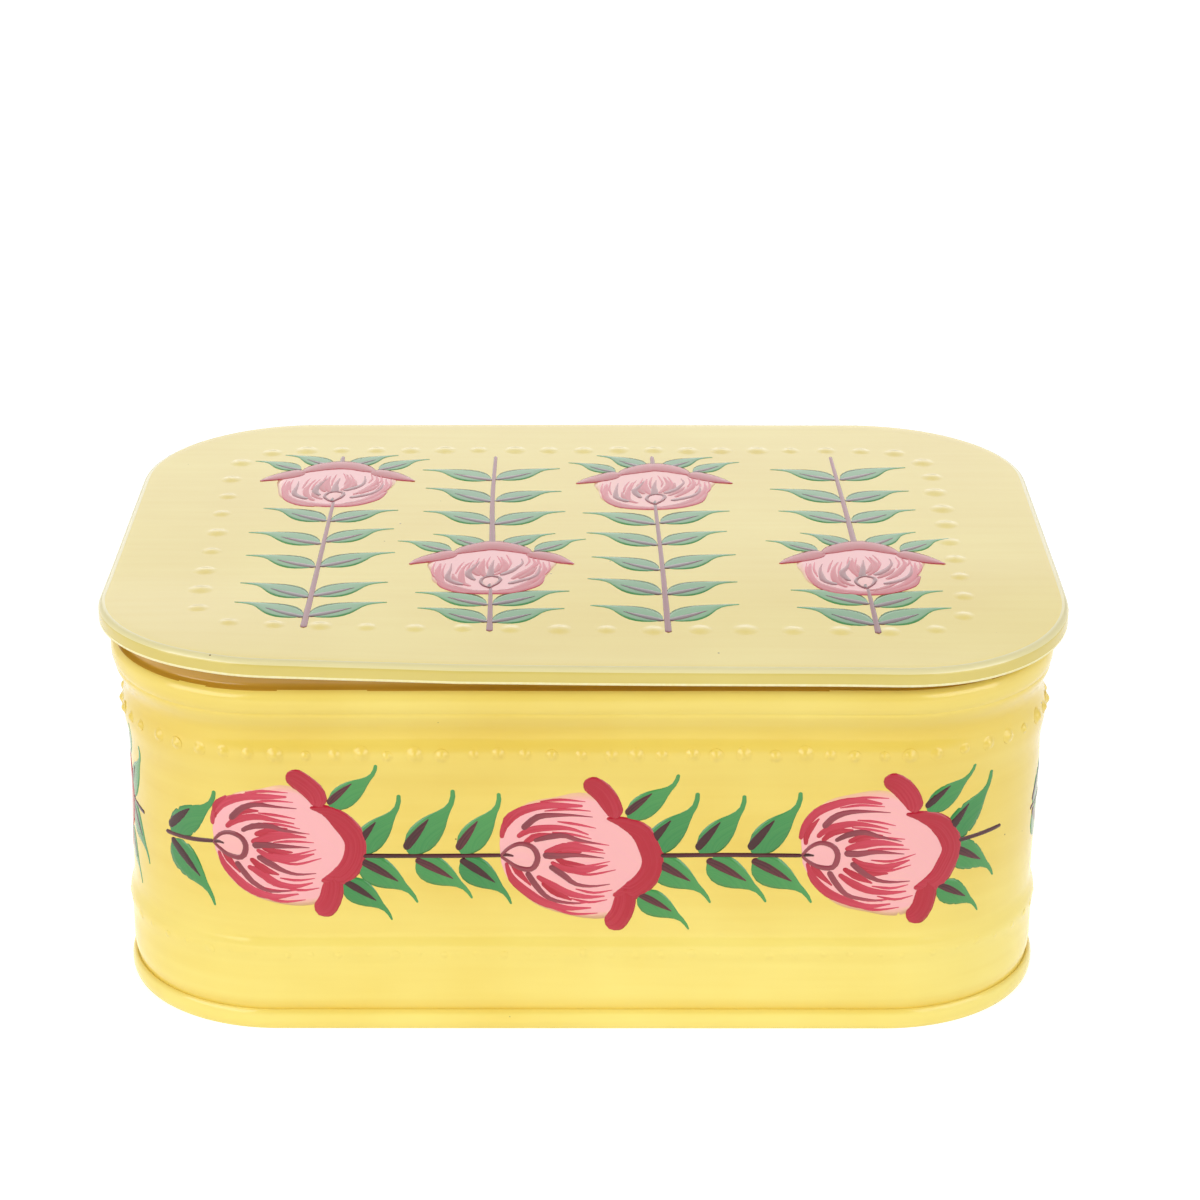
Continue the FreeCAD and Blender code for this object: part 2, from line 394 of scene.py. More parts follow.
def stroke_enamel(name, full, dry):
    """Enamel from a small brush: streaks run along each stroke, and its colour thins as the brush dries."""
    material, tree, output = new_material(name)
    along = add(tree, "ShaderNodeUVMap", uv_map="stroke").outputs[0]
    drawn = add(
        tree, "ShaderNodeMapping", {"Vector": along, "Scale": (1 / BRISTLE_LENGTH, 1 / BRISTLE_WIDTH, 1)}
    )
    bristles = add(tree, "ShaderNodeTexNoise", {"Vector": drawn.outputs[0], "Scale": 1, "Detail": 2})
    dryness = add(tree, "ShaderNodeAttribute", attribute_name="dryness").outputs["Fac"]
    shade = add(tree, "ShaderNodeAttribute", attribute_name="shade").outputs["Fac"]
    paler = add(tree, "ShaderNodeMath", {0: dryness, 1: shade}, operation="ADD")
    mixed = add(
        tree,
        "ShaderNodeMath",
        {0: bristles.outputs[0], 1: BRISTLE_SHARE, 2: paler.outputs[0]},
        operation="MULTIPLY_ADD",
    )
    tone = add(
        tree,
        "ShaderNodeMapRange",
        {"Value": mixed.outputs[0], "From Min": STROKE_TONE_SPAN[0], "From Max": STROKE_TONE_SPAN[1]},
    )
    laid_on = add(
        tree, "ShaderNodeMix", {"Factor": tone.outputs[0], 6: colour(full), 7: colour(dry)}, data_type="RGBA"
    )
    relief = add(
        tree,
        "ShaderNodeBump",
        {"Height": bristles.outputs[0], "Strength": BRISTLE_STRENGTH, "Distance": BRUSH_MARK_DEPTH},
    )
    paint = add(
        tree,
        "ShaderNodeBsdfPrincipled",
        {
            "Base Color": laid_on.outputs[2],
            "Roughness": STROKE_ROUGHNESS,
            "Normal": relief.outputs[0],
            **VARNISH,
        },
    )
    tree.links.new(paint.outputs[0], output.inputs["Surface"])
    return material


pink_enamel = stroke_enamel("pale_pink_enamel_brushed", "F8B4B7", "F6CA96")
crimson_enamel = stroke_enamel("crimson_enamel_brushed", "B5122C", "E4546C")
maroon_enamel = stroke_enamel("maroon_enamel_brushed", "3C0C10", "B04A58")
leaf_enamel = stroke_enamel("leaf_green_enamel_brushed", "1F7A3E", "58A355")
print("decorating enamels", pink_enamel.name, crimson_enamel.name, maroon_enamel.name, leaf_enamel.name)

# %% Rolled tinplate
# the rolls' lines are finer than a tenth of a millimetre, so they are drawn coarse enough to show
ROLLING_LENGTH = 60 * MM
ROLLING_WIDTH = 0.6 * MM
ROLLING_DEPTH = 0.04 * MM
ROLLING_STRENGTH = 0.1
TINPLATE_ROUGHNESS = (0.28, 0.46)

tinplate, tree, output = new_material("rolled_tinplate")
place = add(tree, "ShaderNodeTexCoord").outputs["Object"]
drawn = add(
    tree,
    "ShaderNodeMapping",
    {"Vector": place, "Scale": (1 / ROLLING_LENGTH, 1 / ROLLING_WIDTH, 1 / ROLLING_WIDTH)},
)
rolling = add(tree, "ShaderNodeTexNoise", {"Vector": drawn.outputs[0], "Scale": 1, "Detail": 3})
grey = add(
    tree,
    "ShaderNodeMix",
    {"Factor": rolling.outputs[0], 6: colour("A9A79F"), 7: colour("D2D0CA")},
    data_type="RGBA",
)
sheen = add(
    tree,
    "ShaderNodeMapRange",
    {"Value": rolling.outputs[0], "To Min": TINPLATE_ROUGHNESS[0], "To Max": TINPLATE_ROUGHNESS[1]},
)
scratches = add(
    tree,
    "ShaderNodeBump",
    {"Height": rolling.outputs[0], "Strength": ROLLING_STRENGTH, "Distance": ROLLING_DEPTH},
)
metal = add(
    tree,
    "ShaderNodeBsdfPrincipled",
    {
        "Base Color": grey.outputs[2],
        "Metallic": 1.0,
        "Roughness": sheen.outputs[0],
        "Normal": scratches.outputs[0],
    },
)
tree.links.new(metal.outputs[0], output.inputs["Surface"])
print("inside finish", tinplate.name)

# %% [markdown]
# ## Once round the box
# Wall, foot and lid all follow one outline: a rectangle with round corners. A place on it is a foot on the
# corner axes' rectangle and an outward direction, and s is the distance walked along the wall's outside
# from the middle of the front towards +X. Seen from outside, s runs to the right all the way round.

# %% The outline
SHEET = 0.6 * MM
RIM_PROUD = 2.1 * MM
WALL_CORNER = 29.5 * MM

run_x = wall_high[0] - RIM_PROUD - WALL_CORNER
run_y = wall_high[1] - RIM_PROUD - WALL_CORNER
quarter = WALL_CORNER * math.pi / 2
LEGS = (
    # length along the wall, foot at the start, foot at the end, outward angle at both ends, steps
    (run_x, (0, -run_y), (run_x, -run_y), -90, -90, 28),
    (quarter, (run_x, -run_y), (run_x, -run_y), -90, 0, 26),
    (2 * run_y, (run_x, -run_y), (run_x, run_y), 0, 0, 32),
    (quarter, (run_x, run_y), (run_x, run_y), 0, 90, 26),
    (2 * run_x, (run_x, run_y), (-run_x, run_y), 90, 90, 56),
    (quarter, (-run_x, run_y), (-run_x, run_y), 90, 180, 26),
    (2 * run_y, (-run_x, run_y), (-run_x, -run_y), 180, 180, 32),
    (quarter, (-run_x, -run_y), (-run_x, -run_y), 180, 270, 26),
    (run_x, (-run_x, -run_y), (0, -run_y), 270, 270, 28),
)
girth = sum(leg[0] for leg in LEGS)


def along_leg(leg, share):
    """Foot and outward direction at a share of one leg."""
    length, start, end, first_angle, last_angle, steps = leg
    angle = math.radians(first_angle + (last_angle - first_angle) * share)
    foot = Vector((*start, 0)).lerp(Vector((*end, 0)), share)
    return foot, Vector((math.cos(angle), math.sin(angle), 0))


def around(distance):
    """Foot and outward direction at a distance along the wall's outside."""
    left = distance % girth
    for leg in LEGS:
        if left <= leg[0]:
            return along_leg(leg, left / leg[0])
        left -= leg[0]
    return along_leg(LEGS[-1], 1)


places = [along_leg(leg, step / leg[-1]) for leg in LEGS for step in range(leg[-1])]
print("girth in mm", round(girth / MM, 1), "places", len(places))

# %% [markdown]
# ## Running a geometry tree
# A geometry tree makes its result live. A finished piece has to be a plain mesh, so the tree runs once on a
# scratch object, its inputs set by their sockets' identifiers, and the evaluated result becomes the mesh.

# %% Trees and scratch objects
FLOAT = "NodeSocketFloat"
WHOLE = "NodeSocketInt"
OBJECT = "NodeSocketObject"
FINISH = "NodeSocketMaterial"


def geometry_tree(name, inputs):
    """A geometry tree with named inputs; returns it with the outputs of its input node."""
    tree = bpy.data.node_groups.new(name, "GeometryNodeTree")
    tree.interface.new_socket("Geometry", in_out="INPUT", socket_type="NodeSocketGeometry")
    for label, kind in inputs.items():
        tree.interface.new_socket(label, in_out="INPUT", socket_type=kind)
    tree.interface.new_socket("Geometry", in_out="OUTPUT", socket_type="NodeSocketGeometry")
    return tree, add(tree, "NodeGroupInput").outputs


def close_tree(tree, geometry, material):
    """Ends a tree in real, smooth geometry with its finish."""
    real = add(tree, "GeometryNodeRealizeInstances", {"Geometry": geometry})
    smooth = add(tree, "GeometryNodeSetShadeSmooth", {"Geometry": real.outputs[0]})
    finished = add(tree, "GeometryNodeSetMaterial", {"Geometry": smooth.outputs[0], "Material": material})
    add(tree, "NodeGroupOutput", {"Geometry": finished.outputs[0]})


def scratch(name, mesh):
    """An object that only feeds a tree."""
    holder = bpy.data.objects.new(name, mesh)
    bpy.context.collection.objects.link(holder)
    return holder


def grown(base, tree, **inputs):
    """Runs a tree on a scratch mesh and returns the result as a plain mesh; the scratch is removed."""
    holder = scratch("scratch", base)
    modifier = holder.modifiers.new(tree.name, "NODES")
    modifier.node_group = tree
    for item in tree.interface.items_tree:
        label = item.name.replace(" ", "_").lower()
        if item.in_out == "INPUT" and label in inputs:
            modifier[item.identifier] = inputs[label]
    ready = bpy.context.evaluated_depsgraph_get()
    mesh = bpy.data.meshes.new_from_object(
        holder.evaluated_get(ready), preserve_all_data_layers=True, depsgraph=ready
    )
    holder.modifiers.remove(modifier)
    bpy.data.objects.remove(holder)
    mesh.materials.clear()
    mesh.materials.append(inputs["material"])
    mesh.polygons.foreach_set("material_index", [0] * len(mesh.polygons))
    return mesh


def chain(name, points, closed):
    """A mesh of edges only, from point to point."""
    mesh = bpy.data.meshes.new(name)
    last = len(points) if closed else len(points) - 1
    mesh.from_pydata(points, [(index, (index + 1) % len(points)) for index in range(last)], [])
    return mesh


def outward_faces(mesh, merge=1e-7):
    """Merges doubles and turns every face of a closed mesh outward."""
    work = bmesh.new()
    work.from_mesh(mesh)
    bmesh.ops.remove_doubles(work, verts=work.verts, dist=merge)
    bmesh.ops.dissolve_degenerate(work, edges=work.edges, dist=merge)
    bmesh.ops.recalc_face_normals(work, faces=work.faces)
    work.to_mesh(mesh)
    work.free()


def finished_piece(name, mesh, body, replaced=()):
    """Puts a plain mesh in the scene as a piece that rides on a body."""
    mesh.name = name
    piece = bpy.data.objects.new(name, mesh)
    bpy.context.collection.objects.link(piece)
    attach(piece, body)
    for node in replaced:
        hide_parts(node)
    triangles = sum(len(face.vertices) - 2 for face in mesh.polygons)
    print(name, "rides on", body, "triangles", triangles)
    return piece


print("tree helpers ready")

# %% [markdown]
# ## The wall
# The wall is one strip of sheet with a section: a band at the foot that ends in a low ridge, a panel, a
# swelling shoulder, a waist, and a rim rolled outward and down. It could be drawn by hand in one place and
# spun at the corners. Here the section is a chain of points that Curve to Mesh carries round the outline, and
# a noise field then pushes the sheet in and out by a sixth of a millimetre, as beating over a stake does.

# %% The wall's section in millimetres
RIDGE_HEIGHT = 16.4
RIDGE_REACH = 3.3
RIDGE_PROUD_MM = 0.8
FOOT_PROUD_MM = 0.45
# heights between which the foot band curls in towards the bead
FOOT_CURL = (3.0, 7.0)
SHOULDER_HEIGHT = 55.2
SHOULDER_REACH = 7.5
SHOULDER_PROUD_MM = 0.85
WAIST_HEIGHT = 59.6
WAIST_PROUD_MM = 0.25
NECK_KNOTS = (
    # proud and height, from the waist up to the crease under the roll
    (0.25, 59.6),
    (0.34, 60.3),
    (0.62, 61.2),
    (1.05, 62.1),
    (1.42, 62.9),
    (1.62, 63.5),
    (1.64, 63.9),
)
RIM_KNOTS = (
    # proud and height, from the crease up over the roll to the mouth's edge under the lid
    (1.6, 64.05),
    (1.75, 64.35),
    (1.97, 65.0),
    (2.1, 65.9),
    (2.1, 66.7),
    (1.95, 67.5),
    (1.55, 68.1),
    (0.95, 68.5),
    (0.3, 68.75),
    (-0.02, 69.1),
    (-0.06, 70.2),
    (-0.06, 72.6),
)
RIM_INSIDE_MM = -0.4
MOUTH_RADII_MM = (0.18, 0.25)
SHEET_MM = SHEET / MM
RIM_DROP_MM = 1.3
WALL_STEPS = 60
INSIDE_EVERY = 4
KNOT_STEPS = 3
rim_top_mm = wall_high[2] / MM - RIM_DROP_MM


def smooth_line(knots, steps=8):
    """A smooth line through flat points."""
    ends = [2 * knots[0] - knots[1]] + list(knots) + [2 * knots[-1] - knots[-2]]
    line = []
    for before, start, end, after in zip(ends, ends[1:], ends[2:], ends[3:]):
        for index in range(steps):
            share = index / steps
            square = share * share
            cube = square * share
            spot = (
                start * 2
                + (end - before) * share
                + (before * 2 - start * 5 + end * 4 - after) * square
                + (start * 3 - before - end * 3 + after) * cube
            )
            line.append(spot / 2)
    line.append(Vector(knots[-1]))
    return line


def swell(share):
    """A smooth hump: 1 in the middle, 0 at a share of 1 and beyond."""
    return 0.5 + 0.5 * math.cos(math.pi * share) if abs(share) < 1 else 0.0


def between(values, share):
    """A value from an evenly spread list."""
    spot = min(max(share, 0), 1) * (len(values) - 1)
    index = min(int(spot), len(values) - 2)
    return values[index] + (values[index + 1] - values[index]) * (spot - index)


def wall_proud(height):
    """How far the wall's outside stands out at a height below the waist."""
    ridge = swell((height - RIDGE_HEIGHT) / RIDGE_REACH)
    if height <= RIDGE_HEIGHT:
        first, last = FOOT_CURL
        band = FOOT_PROUD_MM * swell(1 - min(max((height - first) / (last - first), 0), 1))
        return band + (RIDGE_PROUD_MM - FOOT_PROUD_MM) * ridge
    if height <= SHOULDER_HEIGHT:
        shoulder = SHOULDER_PROUD_MM * swell((SHOULDER_HEIGHT - height) / SHOULDER_REACH)
        return RIDGE_PROUD_MM * ridge + shoulder
    share = (height - SHOULDER_HEIGHT) / (WAIST_HEIGHT - SHOULDER_HEIGHT)
    return WAIST_PROUD_MM + (SHOULDER_PROUD_MM - WAIST_PROUD_MM) * swell(share)


def bend(centre, radii, first, last, steps):
    """Points round a bend between two angles in degrees; the two radii are across and up."""
    turns = [math.radians(first + (last - first) * step / steps) for step in range(steps + 1)]
    return [
        (centre[0] + radii[0] * math.cos(turn), centre[1] + radii[1] * math.sin(turn)) for turn in turns
    ]


heights = [SHEET_MM + (WAIST_HEIGHT - SHEET_MM) * step / WALL_STEPS for step in range(WALL_STEPS + 1)]
outside = [(wall_proud(height), height) for height in heights]
neck = [tuple(spot) for spot in smooth_line([Vector(knot) for knot in NECK_KNOTS], KNOT_STEPS)][1:]
roll = [tuple(spot) for spot in smooth_line([Vector(knot) for knot in RIM_KNOTS], KNOT_STEPS)]
mouth_centre = (RIM_INSIDE_MM + MOUTH_RADII_MM[0], rim_top_mm - MOUTH_RADII_MM[1])
over = bend(mouth_centre, MOUTH_RADII_MM, 90, 180, KNOT_STEPS)
inside = [(wall_proud(height) - SHEET_MM, height) for height in reversed(heights[::INSIDE_EVERY])]
inside = [(min(proud, RIM_INSIDE_MM), height) for proud, height in inside]
wall_section = outside + neck + roll + over + inside
print("wall section points", len(wall_section))

# %% A tree that carries a section round
DENT_NOISE_SPAN = (0.25, 0.75)
FULL_DENT_HEIGHT = 20 * MM

tree, given = geometry_tree(
    "section_carried_round",
    {"Section": OBJECT, "Dent depth": FLOAT, "Dent size": FLOAT, "Calm height": FLOAT, "Material": FINISH},
)
path = add(tree, "GeometryNodeMeshToCurve", {"Mesh": given["Geometry"]})
upright = add(tree, "GeometryNodeSetCurveNormal", {"Curve": path.outputs[0]}, mode="Z_UP")
across = add(tree, "GeometryNodeInputNormal")
marked = add(
    tree,
    "GeometryNodeStoreNamedAttribute",
    {"Geometry": upright.outputs[0], "Name": "outward", "Value": across.outputs[0]},
    data_type="FLOAT_VECTOR",
)
drawn = add(tree, "GeometryNodeObjectInfo", {"Object": given["Section"]})
profile = add(tree, "GeometryNodeMeshToCurve", {"Mesh": drawn.outputs["Geometry"]})
swept = add(
    tree, "GeometryNodeCurveToMesh", {"Curve": marked.outputs[0], "Profile Curve": profile.outputs[0]}
)
where = add(tree, "GeometryNodeInputPosition")
pitch = add(tree, "ShaderNodeMath", {0: 1.0, 1: given["Dent size"]}, operation="DIVIDE")
dents = add(
    tree, "ShaderNodeTexNoise", {"Vector": where.outputs[0], "Scale": pitch.outputs[0], "Detail": 1.0}
)
evened = add(
    tree,
    "ShaderNodeMapRange",
    {
        "Value": dents.outputs[0],
        "From Min": DENT_NOISE_SPAN[0],
        "From Max": DENT_NOISE_SPAN[1],
        "To Min": -1.0,
    },
)
depth = add(tree, "ShaderNodeMath", {0: evened.outputs[0], 1: given["Dent depth"]}, operation="MULTIPLY")
height = add(tree, "ShaderNodeSeparateXYZ", {0: where.outputs[0]})
calm = add(
    tree,
    "ShaderNodeMapRange",
    {"Value": height.outputs["Z"], "From Min": given["Calm height"], "From Max": FULL_DENT_HEIGHT},
    interpolation_type="SMOOTHSTEP",
)
felt = add(tree, "ShaderNodeMath", {0: depth.outputs[0], 1: calm.outputs[0]}, operation="MULTIPLY")
outward = add(tree, "GeometryNodeInputNamedAttribute", {"Name": "outward"}, data_type="FLOAT_VECTOR")
push = add(
    tree, "ShaderNodeVectorMath", {0: outward.outputs[0], "Scale": felt.outputs[0]}, operation="SCALE"
)
dented = add(tree, "GeometryNodeSetPosition", {"Geometry": swept.outputs[0], "Offset": push.outputs[0]})
close_tree(tree, dented.outputs[0], given["Material"])
carry_section = tree
print("tree", carry_section.name)

# %% Make the wall
DENT_DEPTH = 0.16 * MM
DENT_SIZE = 34 * MM
CALM_HEIGHT = 6 * MM
CREASE_ANGLE = math.radians(38)
LEAN = 0.65 * MM
LEAN_HEIGHT = 44 * MM
LEAN_REACH = 30 * MM


def lean_at(height):
    """How far the whole wall leans to the right at a height."""
    return Vector((LEAN * swell((height - LEAN_HEIGHT) / LEAN_REACH), 0, 0))


def carried_round(name, section, dent_depth, finish):
    """A closed mesh from a section, in millimetres proud and high, that is carried round the outline."""
    section_points = [(proud * MM, -height * MM, 0) for proud, height in section]
    section_shape = scratch(name, chain(name, section_points, True))
    path = chain("wall_path", [foot + outward * WALL_CORNER for foot, outward in places], True)
    mesh = grown(
        path,
        carry_section,
        section=section_shape,
        dent_depth=dent_depth,
        dent_size=DENT_SIZE,
        calm_height=CALM_HEIGHT,
        material=finish,
    )
    bpy.data.objects.remove(section_shape)
    outward_faces(mesh)
    return mesh


wall_mesh = carried_round("wall_section", wall_section, DENT_DEPTH, wall_enamel)
for vertex in wall_mesh.vertices:
    vertex.co += lean_at(vertex.co.z)
print("wall height in mm", round(max(vertex.co.z for vertex in wall_mesh.vertices) / MM, 2))

# %% [markdown]
# ## The foot pan and the lid
# Both are trays: a flat middle and an edge that is folded or turned down all round. The section starts on
# the corner axis, runs out over the edge and comes back on the other side, so one loop of places and two
# flat middles close the sheet. The lid is sprung up at its front left corner, where a dark gap shows, and
# sags along the rest of its front. Its collar follows it, because it is soldered on underneath.

# %% Trays
def tray(name, section):
    """A closed sheet from a section that starts and ends on the corner axes; sizes in millimetres."""
    work = bmesh.new()
    rows = []
    for foot, outward in places:
        points = [
            foot + outward * (WALL_CORNER + proud * MM) + Vector((0, 0, height * MM))
            for proud, height in section
        ]
        rows.append([work.verts.new(point) for point in points])
    for row, after in zip(rows, rows[1:] + rows[:1]):
        for index in range(len(section) - 1):
            work.faces.new((row[index], row[index + 1], after[index + 1], after[index]))
    steps_x = 2 * LEGS[0][-1]
    steps_y = LEGS[2][-1]
    for proud, height in (section[0], section[-1]):
        grid = []
        for step_y in range(steps_y + 1):
            y = -run_y + 2 * run_y * step_y / steps_y
            xs = [-run_x + 2 * run_x * step_x / steps_x for step_x in range(steps_x + 1)]
            grid.append([work.verts.new((x, y, height * MM)) for x in xs])
        for row, after in zip(grid, grid[1:]):
            for index in range(steps_x):
                work.faces.new((row[index], row[index + 1], after[index + 1], after[index]))
    mesh = bpy.data.meshes.new(name)
    work.to_mesh(mesh)
    work.free()
    outward_faces(mesh, merge=1e-6)
    for face in mesh.polygons:
        face.use_smooth = True
    return mesh


def run_in(first, last, height, steps):
    """Level points of a section between two distances, the last one left out."""
    return [(first + (last - first) * step / steps, height) for step in range(steps)]


def proud_of(point):
    """How far a point stands outside the wall's outline."""
    return math.hypot(max(abs(point.x) - run_x, 0), max(abs(point.y) - run_y, 0)) - WALL_CORNER


axis_mm = -WALL_CORNER / MM
bead_proud_mm = (pan_high[0] - wall_high[0] + RIM_PROUD) / MM
BEAD_DROP_MM = 1.2
BEAD_HEIGHT_MM = pan_high[2] / MM - BEAD_DROP_MM
FLOOR_TOP_MM = 2.2
FLOOR_UNDER_MM = 1.6
bead_middle = BEAD_HEIGHT_MM / 2
# proud and height: the floor's edge, down to where the wall stands and up inside the bead, its curled top
# measured down from the bead's height, and the way back from the bead's underside to the floor's
FLOOR_EDGE_MM = -1.6
CHANNEL_KNOTS = ((-0.8, 1.9), (-0.7, 0.7), (0.02, 0.62), (0.3, 1.3))
CURL_KNOTS = ((0.25, 1.2), (0.05, 0.25), (0.12, 0.05))
UNDER_KNOTS = ((-1.0, 0.0), (-1.3, 0.15), (-1.42, 0.5), (-1.5, 1.2))
UNDER_EDGE_MM = -2.0
BEAD_CENTRE_MM = 0.3
BEAD_INSIDE_MM = 0.4
TRAY_STEPS = 8
pan_section = (
    run_in(axis_mm, FLOOR_EDGE_MM, FLOOR_TOP_MM, TRAY_STEPS)
    + [(FLOOR_EDGE_MM, FLOOR_TOP_MM), *CHANNEL_KNOTS, (BEAD_INSIDE_MM, bead_middle)]
    + [(proud, BEAD_HEIGHT_MM - down) for proud, down in CURL_KNOTS]
    + bend((BEAD_CENTRE_MM, bead_middle), (bead_proud_mm - BEAD_CENTRE_MM, bead_middle), 82, -90, 14)
    + list(UNDER_KNOTS)
    + run_in(UNDER_EDGE_MM, axis_mm, FLOOR_UNDER_MM, TRAY_STEPS)
    + [(axis_mm, FLOOR_UNDER_MM)]
)
pan_mesh = tray("base_pan_sheet", pan_section)
print("bead proud in mm", round(bead_proud_mm, 2))

# %% The lid's sheet
# the CAD lid is as high as the dots on it
DOT_HEIGHT = 0.5 * MM
LIP_EDGE_MM = lid_low[2] / MM
LID_BEND_MM = 1.3
LID_STEPS = 18
LIP_ROUND_MM = 0.25
LIP_KNOT_MM = 0.3
LIP_INSIDE_MM = 0.9
CUT_EDGE_MM = 0.55
# painted highlight: the upper share of the lid's bend that takes the pale cream
PAINTED_HIGHLIGHT_BEND_SHARE = 0.55
BEND_SLACK_MM = 0.05
LID_DENT_DEPTH = 0.10 * MM
LID_DENT_SIZE = 42 * MM
FRONT_EDGE_LIFTS = (1.1, 0.3, -0.45, -0.65, -0.8, -0.95, -1.2)
FRONT_EDGE_SPAN = (-68 * MM, 70 * MM)
FRONT_EDGE_REACH = 48 * MM
LEFT_EDGE_SHARE = 0.992

lid_top_mm = (lid_high[2] - DOT_HEIGHT) / MM
lid_under_mm = lid_top_mm - SHEET_MM
lid_proud_mm = (lid_high[0] - run_x - WALL_CORNER) / MM
bend_start = lid_proud_mm - LID_BEND_MM
bend_centre = (bend_start, lid_top_mm - LID_BEND_MM)
inner_bend = LID_BEND_MM - SHEET_MM
lip_inside = lid_proud_mm - SHEET_MM
lip_centre = (lid_proud_mm - SHEET_MM / 2, LIP_EDGE_MM + LIP_ROUND_MM)
lid_section = (
    run_in(axis_mm, bend_start, lid_top_mm, LID_STEPS)
    + bend(bend_centre, (LID_BEND_MM, LID_BEND_MM), 90, 0, 8)
    + [(lid_proud_mm, LIP_EDGE_MM + CUT_EDGE_MM), (lid_proud_mm, LIP_EDGE_MM + LIP_KNOT_MM)]
    + bend(lip_centre, (SHEET_MM / 2, LIP_ROUND_MM), 0, -180, 6)
    + [(lip_inside, LIP_EDGE_MM + LIP_INSIDE_MM)]
    + bend(bend_centre, (inner_bend, inner_bend), 0, 90, 4)
    + run_in(bend_start - 1, axis_mm, lid_under_mm, TRAY_STEPS)
    + [(axis_mm, lid_under_mm)]
)


def lid_lift(point):
    """How far the lid's sheet is raised at a place by dents, its sprung corner and its sagging front."""
    dents = LID_DENT_DEPTH * noise.noise(Vector((point.x, point.y, 0)) / LID_DENT_SIZE)
    first, last = FRONT_EDGE_SPAN
    front = between(FRONT_EDGE_LIFTS, (point.x - first) / (last - first)) * MM
    return dents + front * swell((point.y - lid_low[1]) / FRONT_EDGE_REACH)


lid_mesh = tray("lid_sheet", lid_section)
lid_coats = (lid_enamel, cut_edge_and_highlight, lip_painted_shade_enamel, bend_painted_highlight_enamel)
for coat in lid_coats:
    lid_mesh.materials.append(coat)
for face in lid_mesh.polygons:
    height = face.center.z / MM
    if proud_of(face.center) > (bend_start - BEND_SLACK_MM) * MM:
        # painted highlight: the lowest strip of the lip, over the cut edge, is near white
        if height < LIP_EDGE_MM + CUT_EDGE_MM:
            coat = cut_edge_and_highlight
        # painted shade: the lip below the bend takes the darker yellow
        elif height < lid_top_mm - PAINTED_HIGHLIGHT_BEND_SHARE * LID_BEND_MM:
            coat = lip_painted_shade_enamel
        # painted highlight: the top of the bend is pale cream
        else:
            coat = bend_painted_highlight_enamel
        face.material_index = lid_coats.index(coat)
for vertex in lid_mesh.vertices:
    vertex.co.z += lid_lift(vertex.co)
    if vertex.co.x < 0:
        vertex.co.x *= LEFT_EDGE_SHARE
print("lid vertices", len(lid_mesh.vertices))

# %% The collar under the lid
collar_low, collar_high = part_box("lid_collar")
collar_out_mm = (collar_high[0] - run_x - WALL_CORNER) / MM
edge_round_mm = SHEET_MM / 2
edge_centre = (collar_out_mm - edge_round_mm, collar_low[2] / MM + edge_round_mm)
collar_edge = bend(edge_centre, (edge_round_mm, edge_round_mm), 0, -180, 6)
collar_top = [(collar_out_mm - SHEET_MM, collar_high[2] / MM), (collar_out_mm, collar_high[2] / MM)]
collar_mesh = carried_round("collar_section", collar_edge + collar_top, 0.0, tinplate)
for vertex in collar_mesh.vertices:
    vertex.co.z += lid_lift(vertex.co)
print("collar height in mm", round((collar_high[2] - collar_low[2]) / MM, 2))

# %% [markdown]
# ## Punched dots
# A row of dots is punched round the lid, a smaller one along the wall's shoulder and a faint one just under
# the ridge. Each dot repeats, so it is drawn once, as a low closed bump whose slope dies out at its edge, and
# a tree drops it on to the sheet by a ray at every place, turned with the sheet and a little uneven.

# %% One dot and the tree that punches it
DOT_RINGS = (1.0, 0.86, 0.68, 0.48, 0.26)
DOT_SPOKES = 12
DOT_SINK = 0.5


def dot_shape():
    """A bump 1 across and 1 high, closed underneath; the tree scales it."""
    work = bmesh.new()
    rings = []
    for radius in (1.0,) + DOT_RINGS:
        height = (1 - radius * radius) ** 2 if rings else -DOT_SINK
        turns = [2 * math.pi * spoke / DOT_SPOKES for spoke in range(DOT_SPOKES)]
        spots = [(radius / 2 * math.cos(turn), radius / 2 * math.sin(turn), height) for turn in turns]
        rings.append([work.verts.new(spot) for spot in spots])
    for ring, after in zip(rings, rings[1:]):
        for spoke in range(DOT_SPOKES):
            other = (spoke + 1) % DOT_SPOKES
            work.faces.new((ring[spoke], ring[other], after[other], after[spoke]))
    work.faces.new(rings[0])
    top = work.verts.new((0, 0, 1))
    for spoke in range(DOT_SPOKES):
        work.faces.new((rings[-1][spoke], rings[-1][(spoke + 1) % DOT_SPOKES], top))
    bmesh.ops.recalc_face_normals(work, faces=work.faces)
    mesh = bpy.data.meshes.new("dot_shape")
    work.to_mesh(mesh)
    work.free()
    return mesh


def ray_to_sheet(tree, sheet, reach):
    """Outputs of a ray that comes from outside, along each point's own outward direction, to the sheet."""
    outward = add(tree, "GeometryNodeInputNamedAttribute", {"Name": "outward"}, data_type="FLOAT_VECTOR")
    where = add(tree, "GeometryNodeInputPosition")
    away = add(tree, "ShaderNodeVectorMath", {0: outward.outputs[0], "Scale": reach}, operation="SCALE")
    start = add(tree, "ShaderNodeVectorMath", {0: where.outputs[0], 1: away.outputs[0]}, operation="ADD")
    inward = add(tree, "ShaderNodeVectorMath", {0: outward.outputs[0], "Scale": -1.0}, operation="SCALE")
    target = add(tree, "GeometryNodeObjectInfo", {"Object": sheet})
    twice = add(tree, "ShaderNodeMath", {0: reach, 1: 2.0}, operation="MULTIPLY")
    ray = add(
        tree,
        "GeometryNodeRaycast",
        {
            "Target Geometry": target.outputs["Geometry"],
            "Source Position": start.outputs[0],
            "Ray Direction": inward.outputs[0],
            "Ray Length": twice.outputs[0],
        },
    )
    return ray.outputs


